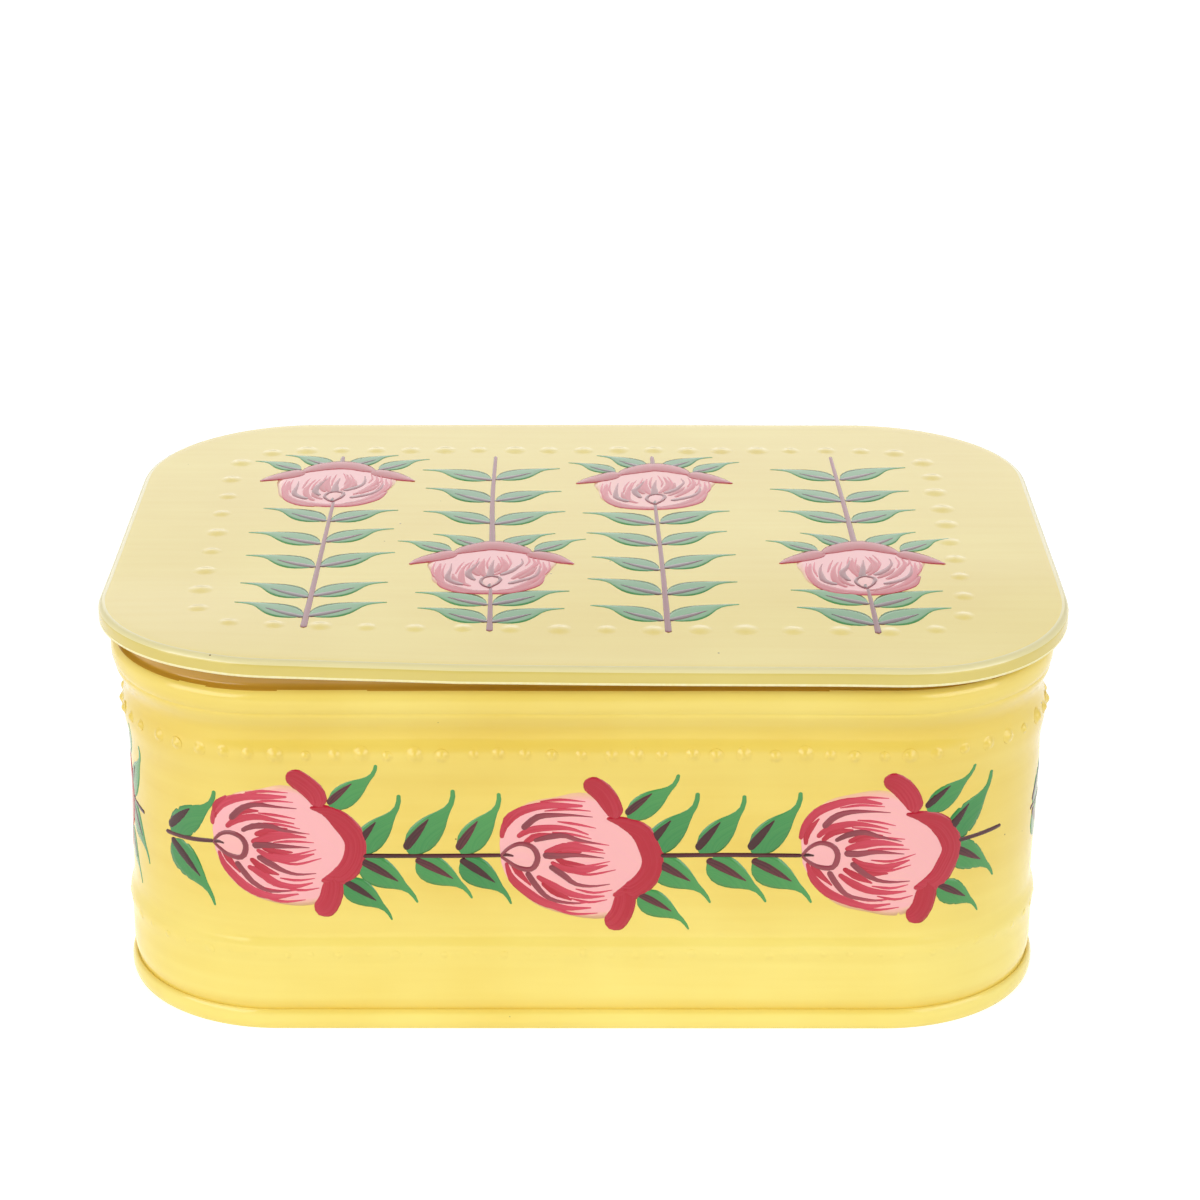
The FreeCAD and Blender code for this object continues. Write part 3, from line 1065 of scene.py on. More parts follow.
tree, given = geometry_tree(
    "punched_dots",
    {
        "Dot": OBJECT,
        "Sheet": OBJECT,
        "Reach": FLOAT,
        "Width": FLOAT,
        "Height": FLOAT,
        "Spread": FLOAT,
        "Seed": WHOLE,
        "Material": FINISH,
    },
)
ray = ray_to_sheet(tree, given["Sheet"], given["Reach"])
seated = add(
    tree, "GeometryNodeSetPosition", {"Geometry": given["Geometry"], "Position": ray["Hit Position"]}
)
turned = add(tree, "FunctionNodeAlignRotationToVector", {"Vector": ray["Hit Normal"]}, axis="Z")
smallest = add(tree, "ShaderNodeMath", {0: 1.0, 1: given["Spread"]}, operation="SUBTRACT")
largest = add(tree, "ShaderNodeMath", {0: 1.0, 1: given["Spread"]}, operation="ADD")
blow = add(
    tree,
    "FunctionNodeRandomValue",
    {2: smallest.outputs[0], 3: largest.outputs[0], "Seed": given["Seed"]},
    data_type="FLOAT",
)
size = add(tree, "ShaderNodeCombineXYZ", {0: given["Width"], 1: given["Width"], 2: given["Height"]})
struck = add(
    tree, "ShaderNodeVectorMath", {0: size.outputs[0], "Scale": blow.outputs[1]}, operation="SCALE"
)
shape = add(tree, "GeometryNodeObjectInfo", {"Object": given["Dot"]})
punched = add(
    tree,
    "GeometryNodeInstanceOnPoints",
    {
        "Points": seated.outputs[0],
        "Instance": shape.outputs["Geometry"],
        "Rotation": turned.outputs[0],
        "Scale": struck.outputs[0],
    },
)
close_tree(tree, punched.outputs[0], given["Material"])
punch = tree
print("tree", punch.name)

# %% Where the dots go
LID_DOT_INSETS = (19 * MM, 17.6 * MM)
LID_DOT_CORNER = 12 * MM
LID_DOT_ROWS = ((10, 0), (19, 90), (9, 180), (16, 270))
SHOULDER_DOT_HEIGHT_MM = 55.7
RIDGE_DOT_DROP_MM = 0.9
WALL_DOT_PITCH = 4.95 * MM
WALL_DOT_SHIFT = 0.12
WALL_DOT_RISE_MM = 0.3
DOT_WANDER = 0.28 * MM
REACH = 8 * MM
# each dot: its width, its height, and how much they vary from blow to blow
LID_DOT = (4.6 * MM, 0.29 * MM, 0.15)
SHOULDER_DOT = (2.7 * MM, 0.6 * MM, 0.25)
RIDGE_DOT = (1.6 * MM, 0.12 * MM, 0.4)


def lid_dot_places(chance):
    """Four rows along a rectangle with small round corners, each with its own number of dots."""
    half = (lid_high[0] - LID_DOT_INSETS[0], lid_high[1] - LID_DOT_INSETS[1])
    found = []
    for count, facing in LID_DOT_ROWS:
        out, along = half if facing % 180 == 0 else half[::-1]
        out -= LID_DOT_CORNER
        along -= LID_DOT_CORNER
        eighth = LID_DOT_CORNER * math.pi / 4
        turn = math.radians(facing)
        forward = Vector((math.cos(turn), math.sin(turn), 0))
        sideways = Vector((-math.sin(turn), math.cos(turn), 0))
        for index in range(count):
            distance = (2 * along + 2 * eighth) * (index + 0.5) / count - along - eighth
            over = max(abs(distance) - along, 0)
            lean = math.copysign(over / LID_DOT_CORNER, distance)
            point = forward * (out + LID_DOT_CORNER * math.cos(lean))
            point += sideways * (max(-along, min(along, distance)) + LID_DOT_CORNER * math.sin(lean))
            found.append(point + Vector((chance.uniform(-1, 1), chance.uniform(-1, 1), 0)) * DOT_WANDER)
    return [(point + Vector((0, 0, lid_top_mm * MM)), Vector((0, 0, 1))) for point in found]


def on_wall(x, y):
    """A flat place, x along the wall and y up it in millimetres, as a point and its outward direction."""
    foot, outward = around(x * MM)
    return foot + outward * WALL_CORNER + Vector((0, 0, y * MM)), outward


def on_lid(x, y):
    """A flat place on the lid in millimetres, as a point and its outward direction."""
    return Vector((x * MM, y * MM, lid_top_mm * MM)), Vector((0, 0, 1))


def wall_dot_places(height_mm, chance):
    """A level row round the wall, with each dot a little out of its place."""
    count = round(girth / WALL_DOT_PITCH)
    found = []
    for index in range(count):
        along = index + chance.uniform(-WALL_DOT_SHIFT, WALL_DOT_SHIFT)
        rise = chance.uniform(-WALL_DOT_RISE_MM, WALL_DOT_RISE_MM)
        found.append(on_wall(girth / MM * along / count, height_mm + rise))
    return found


def with_outward(mesh, directions):
    """Writes each vertex's outward direction on a mesh."""
    marks = mesh.attributes.new("outward", "FLOAT_VECTOR", "POINT")
    for mark, direction in zip(marks.data, directions):
        mark.vector = direction


def welded(mesh, *others):
    """Adds other closed meshes to a sheet's mesh."""
    work = bmesh.new()
    for part in (mesh, *others):
        work.from_mesh(part)
    work.to_mesh(mesh)
    work.free()


def punched_into(sheet_mesh, found, sizes, seed, finish):
    """Punches dots of the given sizes at the found places and adds them to the sheet."""
    width, height, spread = sizes
    points = chain("dot_points", [point for point, outward in found], False)
    with_outward(points, [outward for point, outward in found])
    target = scratch("dot_target", sheet_mesh)
    dot = scratch("dot_shape", dot_shape())
    dots = grown(
        points,
        punch,
        dot=dot,
        sheet=target,
        reach=REACH,
        width=width,
        height=height,
        spread=spread,
        seed=seed,
        material=finish,
    )
    bpy.data.objects.remove(dot)
    bpy.data.objects.remove(target)
    welded(sheet_mesh, dots)
    return len(found)


chance = random.Random(11)
shoulder_dots = wall_dot_places(SHOULDER_DOT_HEIGHT_MM, chance)
ridge_dots = wall_dot_places(RIDGE_HEIGHT - RIDGE_DOT_DROP_MM, chance)
print("lid dots", punched_into(lid_mesh, lid_dot_places(chance), LID_DOT, 1, lid_enamel))
print("shoulder dots", punched_into(wall_mesh, shoulder_dots, SHOULDER_DOT, 2, wall_enamel))
print("ridge dots", punched_into(wall_mesh, ridge_dots, RIDGE_DOT, 3, wall_enamel))

# %% [markdown]
# ## Brush strokes as thin solids
# A stroke of enamel stands a few hundredths of a millimetre proud and catches the light at its edge. Each
# stroke is drawn flat, in millimetres, as a closed ribbon with a crowned top and a sunk underside. It keeps
# a UV map of distances along and across for its bristle streaks, and a dryness that grows as the brush runs
# out. Then a ray lays it on the sheet, over dents and dots, so it sits on the surface from every side.

# %% Ribbons
SINK_MM = 0.1
CROWN_PROFILE = ((0, 0.1), (0.14, 0.8), (0.5, 1.0), (0.86, 0.8), (1, 0.1))
ROUND_END_MARKS = (0.0, 0.12, 0.4, 0.75)
THINNEST_END = 0.0025
WET_SPREAD = 0.15
BRISTLE_SHIFT_MM = 400
RUN_OUT_POWER = 1.5
STROKE_STEP_MM = 1.2


class Paint:
    """Flat strokes of one colour, gathered for one mesh."""

    def __init__(self, lift):
        self.lift = lift
        self.points = []
        self.faces = []
        self.distances = []
        self.dryness = []

    def ribbon(self, lefts, rights, chance, profile=CROWN_PROFILE, dry=(0.0, 0.0), edge_dry=0.0):
        """A closed ribbon between two edges with the same number of points; dry is for its start and end."""
        wet = chance.uniform(0, WET_SPREAD)
        along = chance.uniform(0, BRISTLE_SHIFT_MM)
        ring_size = len(profile) + 2
        first = len(self.points)
        for index, (left, right) in enumerate(zip(lefts, rights)):
            if index:
                along += ((left + right) / 2 - (lefts[index - 1] + rights[index - 1]) / 2).length
            span = (right - left).length
            for share, rise in tuple(profile) + ((1, None), (0, None)):
                spot = left.lerp(right, share)
                lift = -SINK_MM if rise is None else rise * self.lift
                self.points.append((spot.x, spot.y, lift))
                self.distances.append((along, share * span))
                run_out = dry[0] + (dry[1] - dry[0]) * (index / (len(lefts) - 1)) ** RUN_OUT_POWER
                self.dryness.append(wet + run_out + (edge_dry if share in (0, 1) else 0))
        for row in range(len(lefts) - 1):
            start = first + row * ring_size
            for index in range(ring_size):
                other = (index + 1) % ring_size
                self.faces.append(
                    (start + index, start + other, start + ring_size + other, start + ring_size + index)
                )
        last = first + (len(lefts) - 1) * ring_size
        self.faces.append(tuple(range(first, first + ring_size)))
        self.faces.append(tuple(range(last + ring_size - 1, last - 1, -1)))

    def stroke(self, knots, widths, chance, step=STROKE_STEP_MM, dry=(0.0, 0.0)):
        """One pull of the brush through the knots; the widths are spread evenly along it."""
        line = smooth_line(knots)
        marks = [0.0]
        for before, after in zip(line, line[1:]):
            marks.append(marks[-1] + (after - before).length)
        length = marks[-1]
        radii = (widths[0] / 2, widths[-1] / 2)
        count = max(3, round(length / step))
        stops = [length * index / count for index in range(1, count)]
        stops += [radii[0] * mark for mark in ROUND_END_MARKS]
        stops += [length - radii[1] * mark for mark in ROUND_END_MARKS]
        lefts = []
        rights = []
        for stop in sorted(stops):
            spot, heading = point_along(line, marks, min(max(stop, 0), length))
            half = between(widths, stop / length) / 2
            half *= round_end(stop / radii[0]) * round_end((length - stop) / radii[1])
            side = Vector((-heading.y, heading.x)) * half
            lefts.append(spot + side)
            rights.append(spot - side)
        self.ribbon(lefts, rights, chance, dry=dry)

    def mesh(self, name):
        """The gathered strokes as one flat mesh with its UV map and dryness."""
        made = bpy.data.meshes.new(name)
        made.from_pydata(self.points, [], self.faces)
        uv = made.uv_layers.new(name="stroke")
        for loop, place in zip(made.loops, uv.data):
            place.uv = self.distances[loop.vertex_index]
        made.attributes.new("dryness", "FLOAT", "POINT").data.foreach_set("value", self.dryness)
        return made


def round_end(share):
    """How the width closes towards a brush's round end."""
    return math.sqrt(max(1 - (1 - min(max(share, 0), 1)) ** 2, THINNEST_END))


def point_along(line, marks, distance):
    """The place and heading at a distance along a line."""
    for index in range(1, len(marks)):
        if distance <= marks[index] or index == len(marks) - 1:
            piece = line[index] - line[index - 1]
            share = (distance - marks[index - 1]) / max(piece.length, 1e-9)
            return line[index - 1] + piece * share, piece.normalized()


print("stroke of one knot pair", len(smooth_line([Vector((0, 0)), Vector((1, 0))])), "points")

# %% A tree that lays paint on a sheet
tree, given = geometry_tree("paint_laid_on_sheet", {"Sheet": OBJECT, "Reach": FLOAT, "Material": FINISH})
ray = ray_to_sheet(tree, given["Sheet"], given["Reach"])
lift = add(tree, "GeometryNodeInputNamedAttribute", {"Name": "lift"}, data_type="FLOAT")
raised = add(
    tree, "ShaderNodeVectorMath", {0: ray["Hit Normal"], "Scale": lift.outputs[0]}, operation="SCALE"
)
resting = add(
    tree, "ShaderNodeVectorMath", {0: ray["Hit Position"], 1: raised.outputs[0]}, operation="ADD"
)
laid = add(
    tree,
    "GeometryNodeSetPosition",
    {"Geometry": given["Geometry"], "Selection": ray["Is Hit"], "Position": resting.outputs[0]},
)
close_tree(tree, laid.outputs[0], given["Material"])
lay_paint = tree


def laid_on(flat_mesh, where, sheet_mesh, finish):
    """Lays a flat mesh, in millimetres, on a sheet by its mapping from flat places."""
    lifts = [vertex.co.z * MM for vertex in flat_mesh.vertices]
    spots = [where(vertex.co.x, vertex.co.y) for vertex in flat_mesh.vertices]
    for vertex, (point, outward) in zip(flat_mesh.vertices, spots):
        vertex.co = point
    with_outward(flat_mesh, [outward for point, outward in spots])
    flat_mesh.attributes.new("lift", "FLOAT", "POINT").data.foreach_set("value", lifts)
    target = scratch("paint_target", sheet_mesh)
    mesh = grown(flat_mesh, lay_paint, sheet=target, reach=REACH, material=finish)
    bpy.data.objects.remove(target)
    for spare in ("outward", "lift"):
        mesh.attributes.remove(mesh.attributes[spare])
    outward_faces(mesh)
    return mesh


print("tree", lay_paint.name)

# %% [markdown]
# ## The lap seam and the wall's inside
# The strip's two ends overlap at the back: a low step, filled with solder, with one crisp edge. It is laid
# like a broad stroke of sheet. Paint covers the outside and rolls over the rim. The neck, which the lid
# hides, is painted darker as the shade under the lid's lip, and the inside is bare tinplate.

# %% Lap seam
SEAM_WIDTH_MM = 7.0
SEAM_FOOT_MM = 4.6
SEAM_STEP_MM = 0.16
SEAM_STEPS = 36
SEAM_PROFILE = ((0, 0.0), (0.05, 0.6), (0.11, 1.0), (0.4, 0.95), (0.75, 0.4), (0.92, 0.08), (1, 0.0))

seam = Paint(SEAM_STEP_MM)
back_mm = girth / MM / 2
seam_rise = WAIST_HEIGHT - SEAM_FOOT_MM
seam_heights = [SEAM_FOOT_MM + seam_rise * step / SEAM_STEPS for step in range(SEAM_STEPS + 1)]
seam.ribbon(
    [Vector((back_mm - SEAM_WIDTH_MM / 2, height)) for height in seam_heights],
    [Vector((back_mm + SEAM_WIDTH_MM / 2, height)) for height in seam_heights],
    random.Random(5),
    SEAM_PROFILE,
)
welded(wall_mesh, laid_on(seam.mesh("lap_seam"), on_wall, wall_mesh, wall_enamel))
print("seam height in mm", round(seam_rise, 1))

# %% Which faces are painted, and the four sheets finished
PAINT_INSIDE = 2.2 * MM
INSIDE_PROUD = -0.2 * MM
PAN_INSIDE_PROUD = -0.6 * MM
FACING_UP = 0.5
# painted shade: outside faces of the neck above this height and within this proud take the dark yellow
NECK_FOOT = 68.4 * MM
NECK_PROUD = 1.1 * MM
wall_mesh.materials.append(tinplate)
wall_mesh.materials.append(neck_painted_shade_enamel)
for face in wall_mesh.polygons:
    proud = proud_of(face.center - lean_at(face.center.z))
    if proud < INSIDE_PROUD and face.center.z < wall_high[2] - PAINT_INSIDE:
        face.material_index = 1
    elif proud < NECK_PROUD and face.center.z > NECK_FOOT:
        face.material_index = 2
pan_mesh.materials.append(wall_enamel)
pan_mesh.materials.append(tinplate)
for face in pan_mesh.polygons:
    if face.normal.z > FACING_UP and proud_of(face.center) < PAN_INSIDE_PROUD:
        face.material_index = 1
for mesh in (wall_mesh, pan_mesh, lid_mesh, collar_mesh):
    mesh.set_sharp_from_angle(angle=CREASE_ANGLE)
    mark = mesh.attributes.get("outward")
    if mark:
        mesh.attributes.remove(mark)
finished_piece("wall_sheet", wall_mesh, "box", ["body_wall"])
finished_piece("base_pan_sheet", pan_mesh, "box", ["base_pan"])
finished_piece("lid_sheet", lid_mesh, "lid", ["lid_plate"])
finished_piece("lid_collar_band", collar_mesh, "lid", ["lid_collar"])

# %% [markdown]
# ## The flower
# The decoration is the old folk ornament of painted tinware: sprays of one open flower and paired leaves,
# built from a few kinds of brush stroke. Each flower is drawn from the cup outwards: u runs from the cup to
# the crown, v to the side. Pale petals come first, then streaks that leave the cup and turn forward, the
# crown along the petals' ends, and last the cup itself. No two come out alike, because each knot wanders.

# %% One flower
CUP_RING = (
    # u and v once round the cup, which is pointed where the stem comes in
    (-3.4, 0.3),
    (-1.7, 2.0),
    (0.5, 2.8),
    (2.7, 1.9),
    (3.6, -0.3),
    (2.5, -2.7),
    (-0.2, -2.3),
    (-2.2, -0.9),
    (-3.4, 0.2),
)
CUP_WIDTHS = (0.7, 1.0, 1.2, 1.4, 1.5, 1.3, 1.0, 0.8)
CUP_TIP = -3.4
CUP_STALK = ((-3.2, 0.2), (-2.4, 0.3), (-1.2, 0.1))
CUP_STALK_WIDTHS = (0.9, 0.8, 0.4)
PETAL_EDGES = (
    # u and v of one edge, u and v of the other, from the cup to the middle of the crown
    (-3.6, 2.6, -3.2, -1.4),
    (-3.1, 5.0, -2.4, -3.8),
    (-1.9, 7.4, -0.8, -6.4),
    (1.5, 10.3, 2.5, -9.3),
    (5.8, 11.1, 7.4, -10.9),
    (9.8, 11.9, 12.2, -11.9),
    (13.2, 11.0, 15.9, -10.9),
    (15.3, 8.0, 16.8, -8.0),
    (18.6, 5.6, 18.8, -5.6),
    (21.0, 2.6, 20.9, -2.6),
    (21.6, 0.6, 21.6, -0.6),
)
# each stroke below: knots in u and v, then widths
WALL_CROWN_ARC = ((14.6, 7.3), (17.2, 6.5), (20.0, 4.7), (21.8, 1.8))
WALL_CROWN_ARC += ((22.1, -0.8), (21.2, -3.6), (19.2, -6.0), (15.6, -7.2))
WALL_CROWN = (
    (((10.9, 14.3), (13.4, 12.4), (15.3, 9.9), (16.4, 7.4)), (3.4, 4.1, 4.0, 2.9)),
    (WALL_CROWN_ARC, (0.6, 2.6, 4.1, 4.4, 4.4, 4.4, 4.2, 0.7)),
    (((18.0, -6.0), (17.6, -8.6), (16.7, -11.2), (14.8, -13.5)), (3.8, 4.4, 4.4, 4.2)),
)
LID_CROWN_SIDE = ((10.6, 15.2), (12.6, 12.8), (14.6, 10.3), (16.2, 8.2), (17.2, 6.6))
LID_CROWN_SIDE_WIDTHS = (0.6, 3.0, 4.4, 4.9, 4.0)
LID_CROWN = (
    (LID_CROWN_SIDE, LID_CROWN_SIDE_WIDTHS),
    (
        ((16.2, 7.2), (18.6, 5.4), (20.6, 3.0), (21.6, 0.0), (20.6, -3.0), (18.6, -5.4), (16.2, -7.2)),
        (1.0, 4.0, 5.2, 5.6, 5.2, 4.0, 1.0),
    ),
    (tuple((u, -v) for u, v in LID_CROWN_SIDE[::-1]), LID_CROWN_SIDE_WIDTHS[::-1]),
)
LID_UNDER = (
    (
        ((3.6, 10.1), (-1.4, 8.2), (-4.9, 4.2), (-5.6, -0.4), (-4.7, -4.4), (-1.2, -8.2), (3.8, -9.9)),
        (0.5, 1.9, 2.3, 2.2, 2.3, 1.9, 0.5),
    ),
)
CRIMSON_STREAKS = (
    (
        ((-3.4, 3.3), (-2.8, 5.6), (-0.6, 8.1), (2.8, 9.4), (6.5, 9.8), (10.5, 9.4)),
        (1.0, 2.0, 2.2, 2.0, 1.6, 0.7),
    ),
    (((-0.6, 3.5), (1.5, 5.1), (4.9, 5.6), (8.3, 5.1), (11.5, 4.3)), (1.3, 2.1, 1.8, 1.0, 0.4)),
    (((3.8, 0.8), (6.5, 1.8), (9.8, 1.9), (13.8, 1.4)), (1.3, 2.5, 1.7, 0.4)),
    (((4.9, -0.8), (7.1, -2.2), (10.5, -2.6), (14.8, -1.6)), (1.0, 2.2, 1.8, 0.4)),
    (((2.8, -3.8), (5.2, -5.6), (8.0, -7.1), (11.1, -7.8), (14.2, -7.3)), (1.2, 2.3, 2.0, 1.3, 0.4)),
    (
        ((-2.6, -1.3), (-1.5, -4.0), (0.9, -6.8), (4.0, -8.8), (7.7, -9.8), (11.7, -9.6)),
        (0.9, 2.0, 2.3, 2.1, 1.4, 0.4),
    ),
)
MAROON_STREAKS = (
    (((0.3, 5.1), (2.8, 7.3), (5.8, 7.9), (9.8, 7.7), (13.8, 7.4)), (1.3, 1.3, 0.9, 0.45, 0.15)),
    (((2.2, 2.8), (4.9, 3.7), (8.0, 3.9), (10.3, 3.1), (15.4, 2.2)), (0.8, 1.3, 1.1, 0.6, 0.15)),
    (((3.8, 0.3), (6.5, 0.2), (9.8, 0.2), (15.5, -0.4)), (1.5, 1.2, 0.7, 0.15)),
    (((4.9, -1.7), (7.4, -3.7), (9.8, -5.0), (12.9, -5.6), (16.5, -5.4)), (1.1, 1.3, 0.8, 0.5, 0.15)),
    (((0.9, -3.1), (2.5, -5.5), (4.6, -7.5), (7.4, -8.6), (11.7, -8.9)), (1.1, 1.2, 0.9, 0.6, 0.2)),
)
HAIR_WIDTHS = (0.3, 0.7, 0.55, 0.2)
HAIR_REACHES = (1.2, 0.4)
HAIR_ASIDES = (1.0, -0.9)
STREAK_ASIDES = (0.7, 1.1)
SECOND_PULL = (0.6, -1.3)
SECOND_PULL_END = 0.4
STREAK_SLIMNESS = 0.86
HANG_REACH = 9.0
# how dry the brush is, at the start and at the end of each kind of stroke
DRYNESS = {
    "streak": (0.1, 0.8),
    "second pull": (-0.1, 0.4),
    "hair": (0.3, 1.0),
    "under": (0.2, 0.3),
    "crown": (-0.1, 0.1),
    "dark streak": (0.4, 1.1),
    "cup": (0.5, 0.6),
}
PETAL_EDGE_DRYNESS = 0.9
# a style: strokes at the crown and under the cup, the cup's size along and aside, how hard the streaks are
# pressed, which makes them short and wide, and how far the petals hang back past the cup
WALL_STYLE = {"crown": WALL_CROWN, "under": (), "cup": (0.88, 0.86), "press": 1.15, "hang": 0.0}
LID_STYLE = {"crown": LID_CROWN, "under": LID_UNDER, "cup": (0.95, 0.64), "press": 1.3, "hang": 1.9}
WANDER_MM = 0.22
FINE_WANDER_MM = 0.1
FINE_STEP_MM = 0.7
STALK_STEP_MM = 0.6
BROAD_SHARES = (0.06, 0.15, 0.3, 0.5, 0.7, 0.85, 0.94)
BROAD_PROFILE = ((0, 0.25), *((share, 1) for share in BROAD_SHARES), (1, 0.25))


def colour_set():
    """Empty layers of paint in the order in which they are laid, with how thick each stands."""
    return {
        "pink": Paint(0.05),
        "crimson": Paint(0.085),
        "maroon": Paint(0.115),
        "crown": Paint(0.14),
        "cup": Paint(0.125),
        "cup_line": Paint(0.2),
    }


def flower(layers, put, style, chance):
    """Paints a flower in a style; put turns its u and v into a flat place."""

    def wander(amount):
        return chance.uniform(-amount, amount)

    def uneven(knots, amount=WANDER_MM):
        return [put(u + wander(amount), v + wander(amount)) for u, v in knots]

    def hung(knots):
        return [(u - style["hang"] * max(1 - u / HANG_REACH, 0), v) for u, v in knots]

    lefts = smooth_line(uneven(hung([edge[:2] for edge in PETAL_EDGES])), KNOT_STEPS)
    rights = smooth_line(uneven(hung([edge[2:] for edge in PETAL_EDGES])), KNOT_STEPS)
    layers["pink"].ribbon(lefts, rights, chance, BROAD_PROFILE, edge_dry=PETAL_EDGE_DRYNESS)
    for knots, widths in CRIMSON_STREAKS:
        slim = [width * STREAK_SLIMNESS for width in widths]
        layers["crimson"].stroke(uneven(hung(knots)), slim, chance, dry=DRYNESS["streak"])
        aside = chance.choice((-1, 1)) * chance.uniform(*STREAK_ASIDES)
        start = [(u + SECOND_PULL[0], v + SECOND_PULL[1] * aside) for u, v in knots[:3]]
        start_widths = slim[:2] + [SECOND_PULL_END]
        layers["crimson"].stroke(uneven(hung(start)), start_widths, chance, dry=DRYNESS["second pull"])
        for reach, beside in zip(HAIR_REACHES, HAIR_ASIDES):
            hair = uneven(hung([(u + reach, v + beside * aside) for u, v in knots[-3:]]), FINE_WANDER_MM)
            layers["crimson"].stroke(hair, HAIR_WIDTHS, chance, dry=DRYNESS["hair"])
    for knots, widths in style["under"]:
        layers["crimson"].stroke(uneven(knots), widths, chance, dry=DRYNESS["under"])
    for knots, widths in style["crown"]:
        layers["crown"].stroke(uneven(knots), widths, chance, dry=DRYNESS["crown"])
    for knots, widths in MAROON_STREAKS:
        pulled = [(knots[0][0] + (u - knots[0][0]) / style["press"], v) for u, v in knots]
        pressed = [width * style["press"] for width in widths]
        layers["maroon"].stroke(uneven(hung(pulled)), pressed, chance, dry=DRYNESS["dark streak"])
    long, wide = style["cup"]
    ring = uneven([(CUP_TIP + (u - CUP_TIP) * long, v * wide) for u, v in CUP_RING], FINE_WANDER_MM * wide)
    far_end = len(ring) // 2
    near_side = smooth_line(ring[:far_end + 1], KNOT_STEPS)
    far_side = smooth_line(ring[:far_end - 1:-1], KNOT_STEPS)
    layers["cup"].ribbon(near_side, far_side, chance)
    ring_widths = [width * wide for width in CUP_WIDTHS]
    layers["cup_line"].stroke(ring, ring_widths, chance, FINE_STEP_MM, dry=DRYNESS["cup"])
    layers["cup_line"].stroke(uneven(CUP_STALK, FINE_WANDER_MM), CUP_STALK_WIDTHS, chance, STALK_STEP_MM)


print("streaks in a flower", len(CRIMSON_STREAKS) + len(MAROON_STREAKS))

# %% [markdown]
# ## Leaves
# A leaf is one press of the brush and a flick: a full body that ends in a thin tail, with a dark vein laid
# over it. It repeats along every stem, so a tree puts it on marked places, turned, sized and shaded a little
# differently each time from a fixed seed.

# %% Leaf and vein shapes
LEAF_LINES = {
    # knots of the middle line: u along the stem, v away from it
    "lifted": ((0.1, 0.4), (2.9, 3.9), (5.7, 7.2), (7.5, 9.6), (8.0, 11.2), (8.0, 12.6)),
    "swept": ((0.4, -1.0), (3.6, -3.4), (6.7, -5.5), (8.9, -7.3), (9.7, -8.4), (10.3, -9.7)),
    "lid_left": ((0.4, 0.8), (2.5, 3.8), (4.7, 7.0), (6.3, 9.7), (7.1, 12.0), (7.4, 14.6)),
}
LEAF_WIDTHS = {
    "lifted": (1.6, 3.8, 5.1, 5.5, 5.3, 4.7, 3.7, 2.4, 1.4, 1.0, 0.9, 0.75),
    "swept": (1.8, 4.4, 5.7, 6.0, 5.6, 4.8, 3.7, 2.3, 1.3, 0.9, 0.7, 0.4),
    "lid_left": (1.6, 4.2, 6.0, 6.8, 6.7, 6.0, 4.8, 3.2, 1.9, 1.2, 0.8, 0.4),
}
VEIN_LINES = {
    "lifted": ((-0.5, 1.2), (1.5, 4.1), (3.7, 7.0)),
    "swept": ((0.2, -0.8), (3.4, -2.8), (7.0, -5.3)),
    "lid_left": ((0.2, 0.4), (2.0, 4.1), (4.5, 8.2)),
}
# the lid's right leaf is its left one mirrored
for lines in (LEAF_LINES, VEIN_LINES):
    lines["lid_right"] = tuple((u, -v) for u, v in lines["lid_left"])
LEAF_WIDTHS["lid_right"] = LEAF_WIDTHS["lid_left"]
VEIN_WIDTHS = (1.4, 2.0, 1.5, 0.25)
LEAF_THICKNESS_MM = 0.055
LEAF_STEP_MM = 1.3
LEAF_DRYNESS = (0.2, 0.6)
VEIN_THICKNESS_MM = 0.09
VEIN_STEP_MM = 1.0
VEIN_DRYNESS = (-0.3, -0.2)


def leaf_shape(kind):
    """A leaf's body and its vein as two flat meshes."""
    middle = [Vector(knot) for knot in LEAF_LINES[kind]]
    body = Paint(LEAF_THICKNESS_MM)
    body.stroke(middle, LEAF_WIDTHS[kind], random.Random(1), LEAF_STEP_MM, dry=LEAF_DRYNESS)
    dark_line = [Vector(knot) for knot in VEIN_LINES[kind]]
    vein = Paint(VEIN_THICKNESS_MM)
    vein.stroke(dark_line, VEIN_WIDTHS, random.Random(2), VEIN_STEP_MM, dry=VEIN_DRYNESS)
    return body.mesh("leaf_" + kind), vein.mesh("vein_" + kind)


tree, given = geometry_tree(
    "leaves_on_stems",
    {
        "Leaf": OBJECT,
        "Turn spread": FLOAT,
        "Size spread": FLOAT,
        "Shade spread": FLOAT,
        "Seed": WHOLE,
        "Material": FINISH,
    },
)
turn = add(tree, "GeometryNodeInputNamedAttribute", {"Name": "turn"}, data_type="FLOAT")
size = add(tree, "GeometryNodeInputNamedAttribute", {"Name": "size"}, data_type="FLOAT")
least = add(tree, "ShaderNodeMath", {0: given["Turn spread"], 1: -1.0}, operation="MULTIPLY")
lean = add(
    tree,
    "FunctionNodeRandomValue",
    {2: least.outputs[0], 3: given["Turn spread"], "Seed": given["Seed"]},
    data_type="FLOAT",
)
heading = add(tree, "ShaderNodeMath", {0: turn.outputs[0], 1: lean.outputs[1]}, operation="ADD")
spin = add(tree, "FunctionNodeAxisAngleToRotation", {"Axis": (0, 0, 1), "Angle": heading.outputs[0]})
other_seed = add(tree, "ShaderNodeMath", {0: given["Seed"], 1: 1.0}, operation="ADD")
smallest = add(tree, "ShaderNodeMath", {0: 1.0, 1: given["Size spread"]}, operation="SUBTRACT")
largest = add(tree, "ShaderNodeMath", {0: 1.0, 1: given["Size spread"]}, operation="ADD")
press = add(
    tree,
    "FunctionNodeRandomValue",
    {2: smallest.outputs[0], 3: largest.outputs[0], "Seed": other_seed.outputs[0]},
    data_type="FLOAT",
)
grown_size = add(tree, "ShaderNodeMath", {0: size.outputs[0], 1: press.outputs[1]}, operation="MULTIPLY")
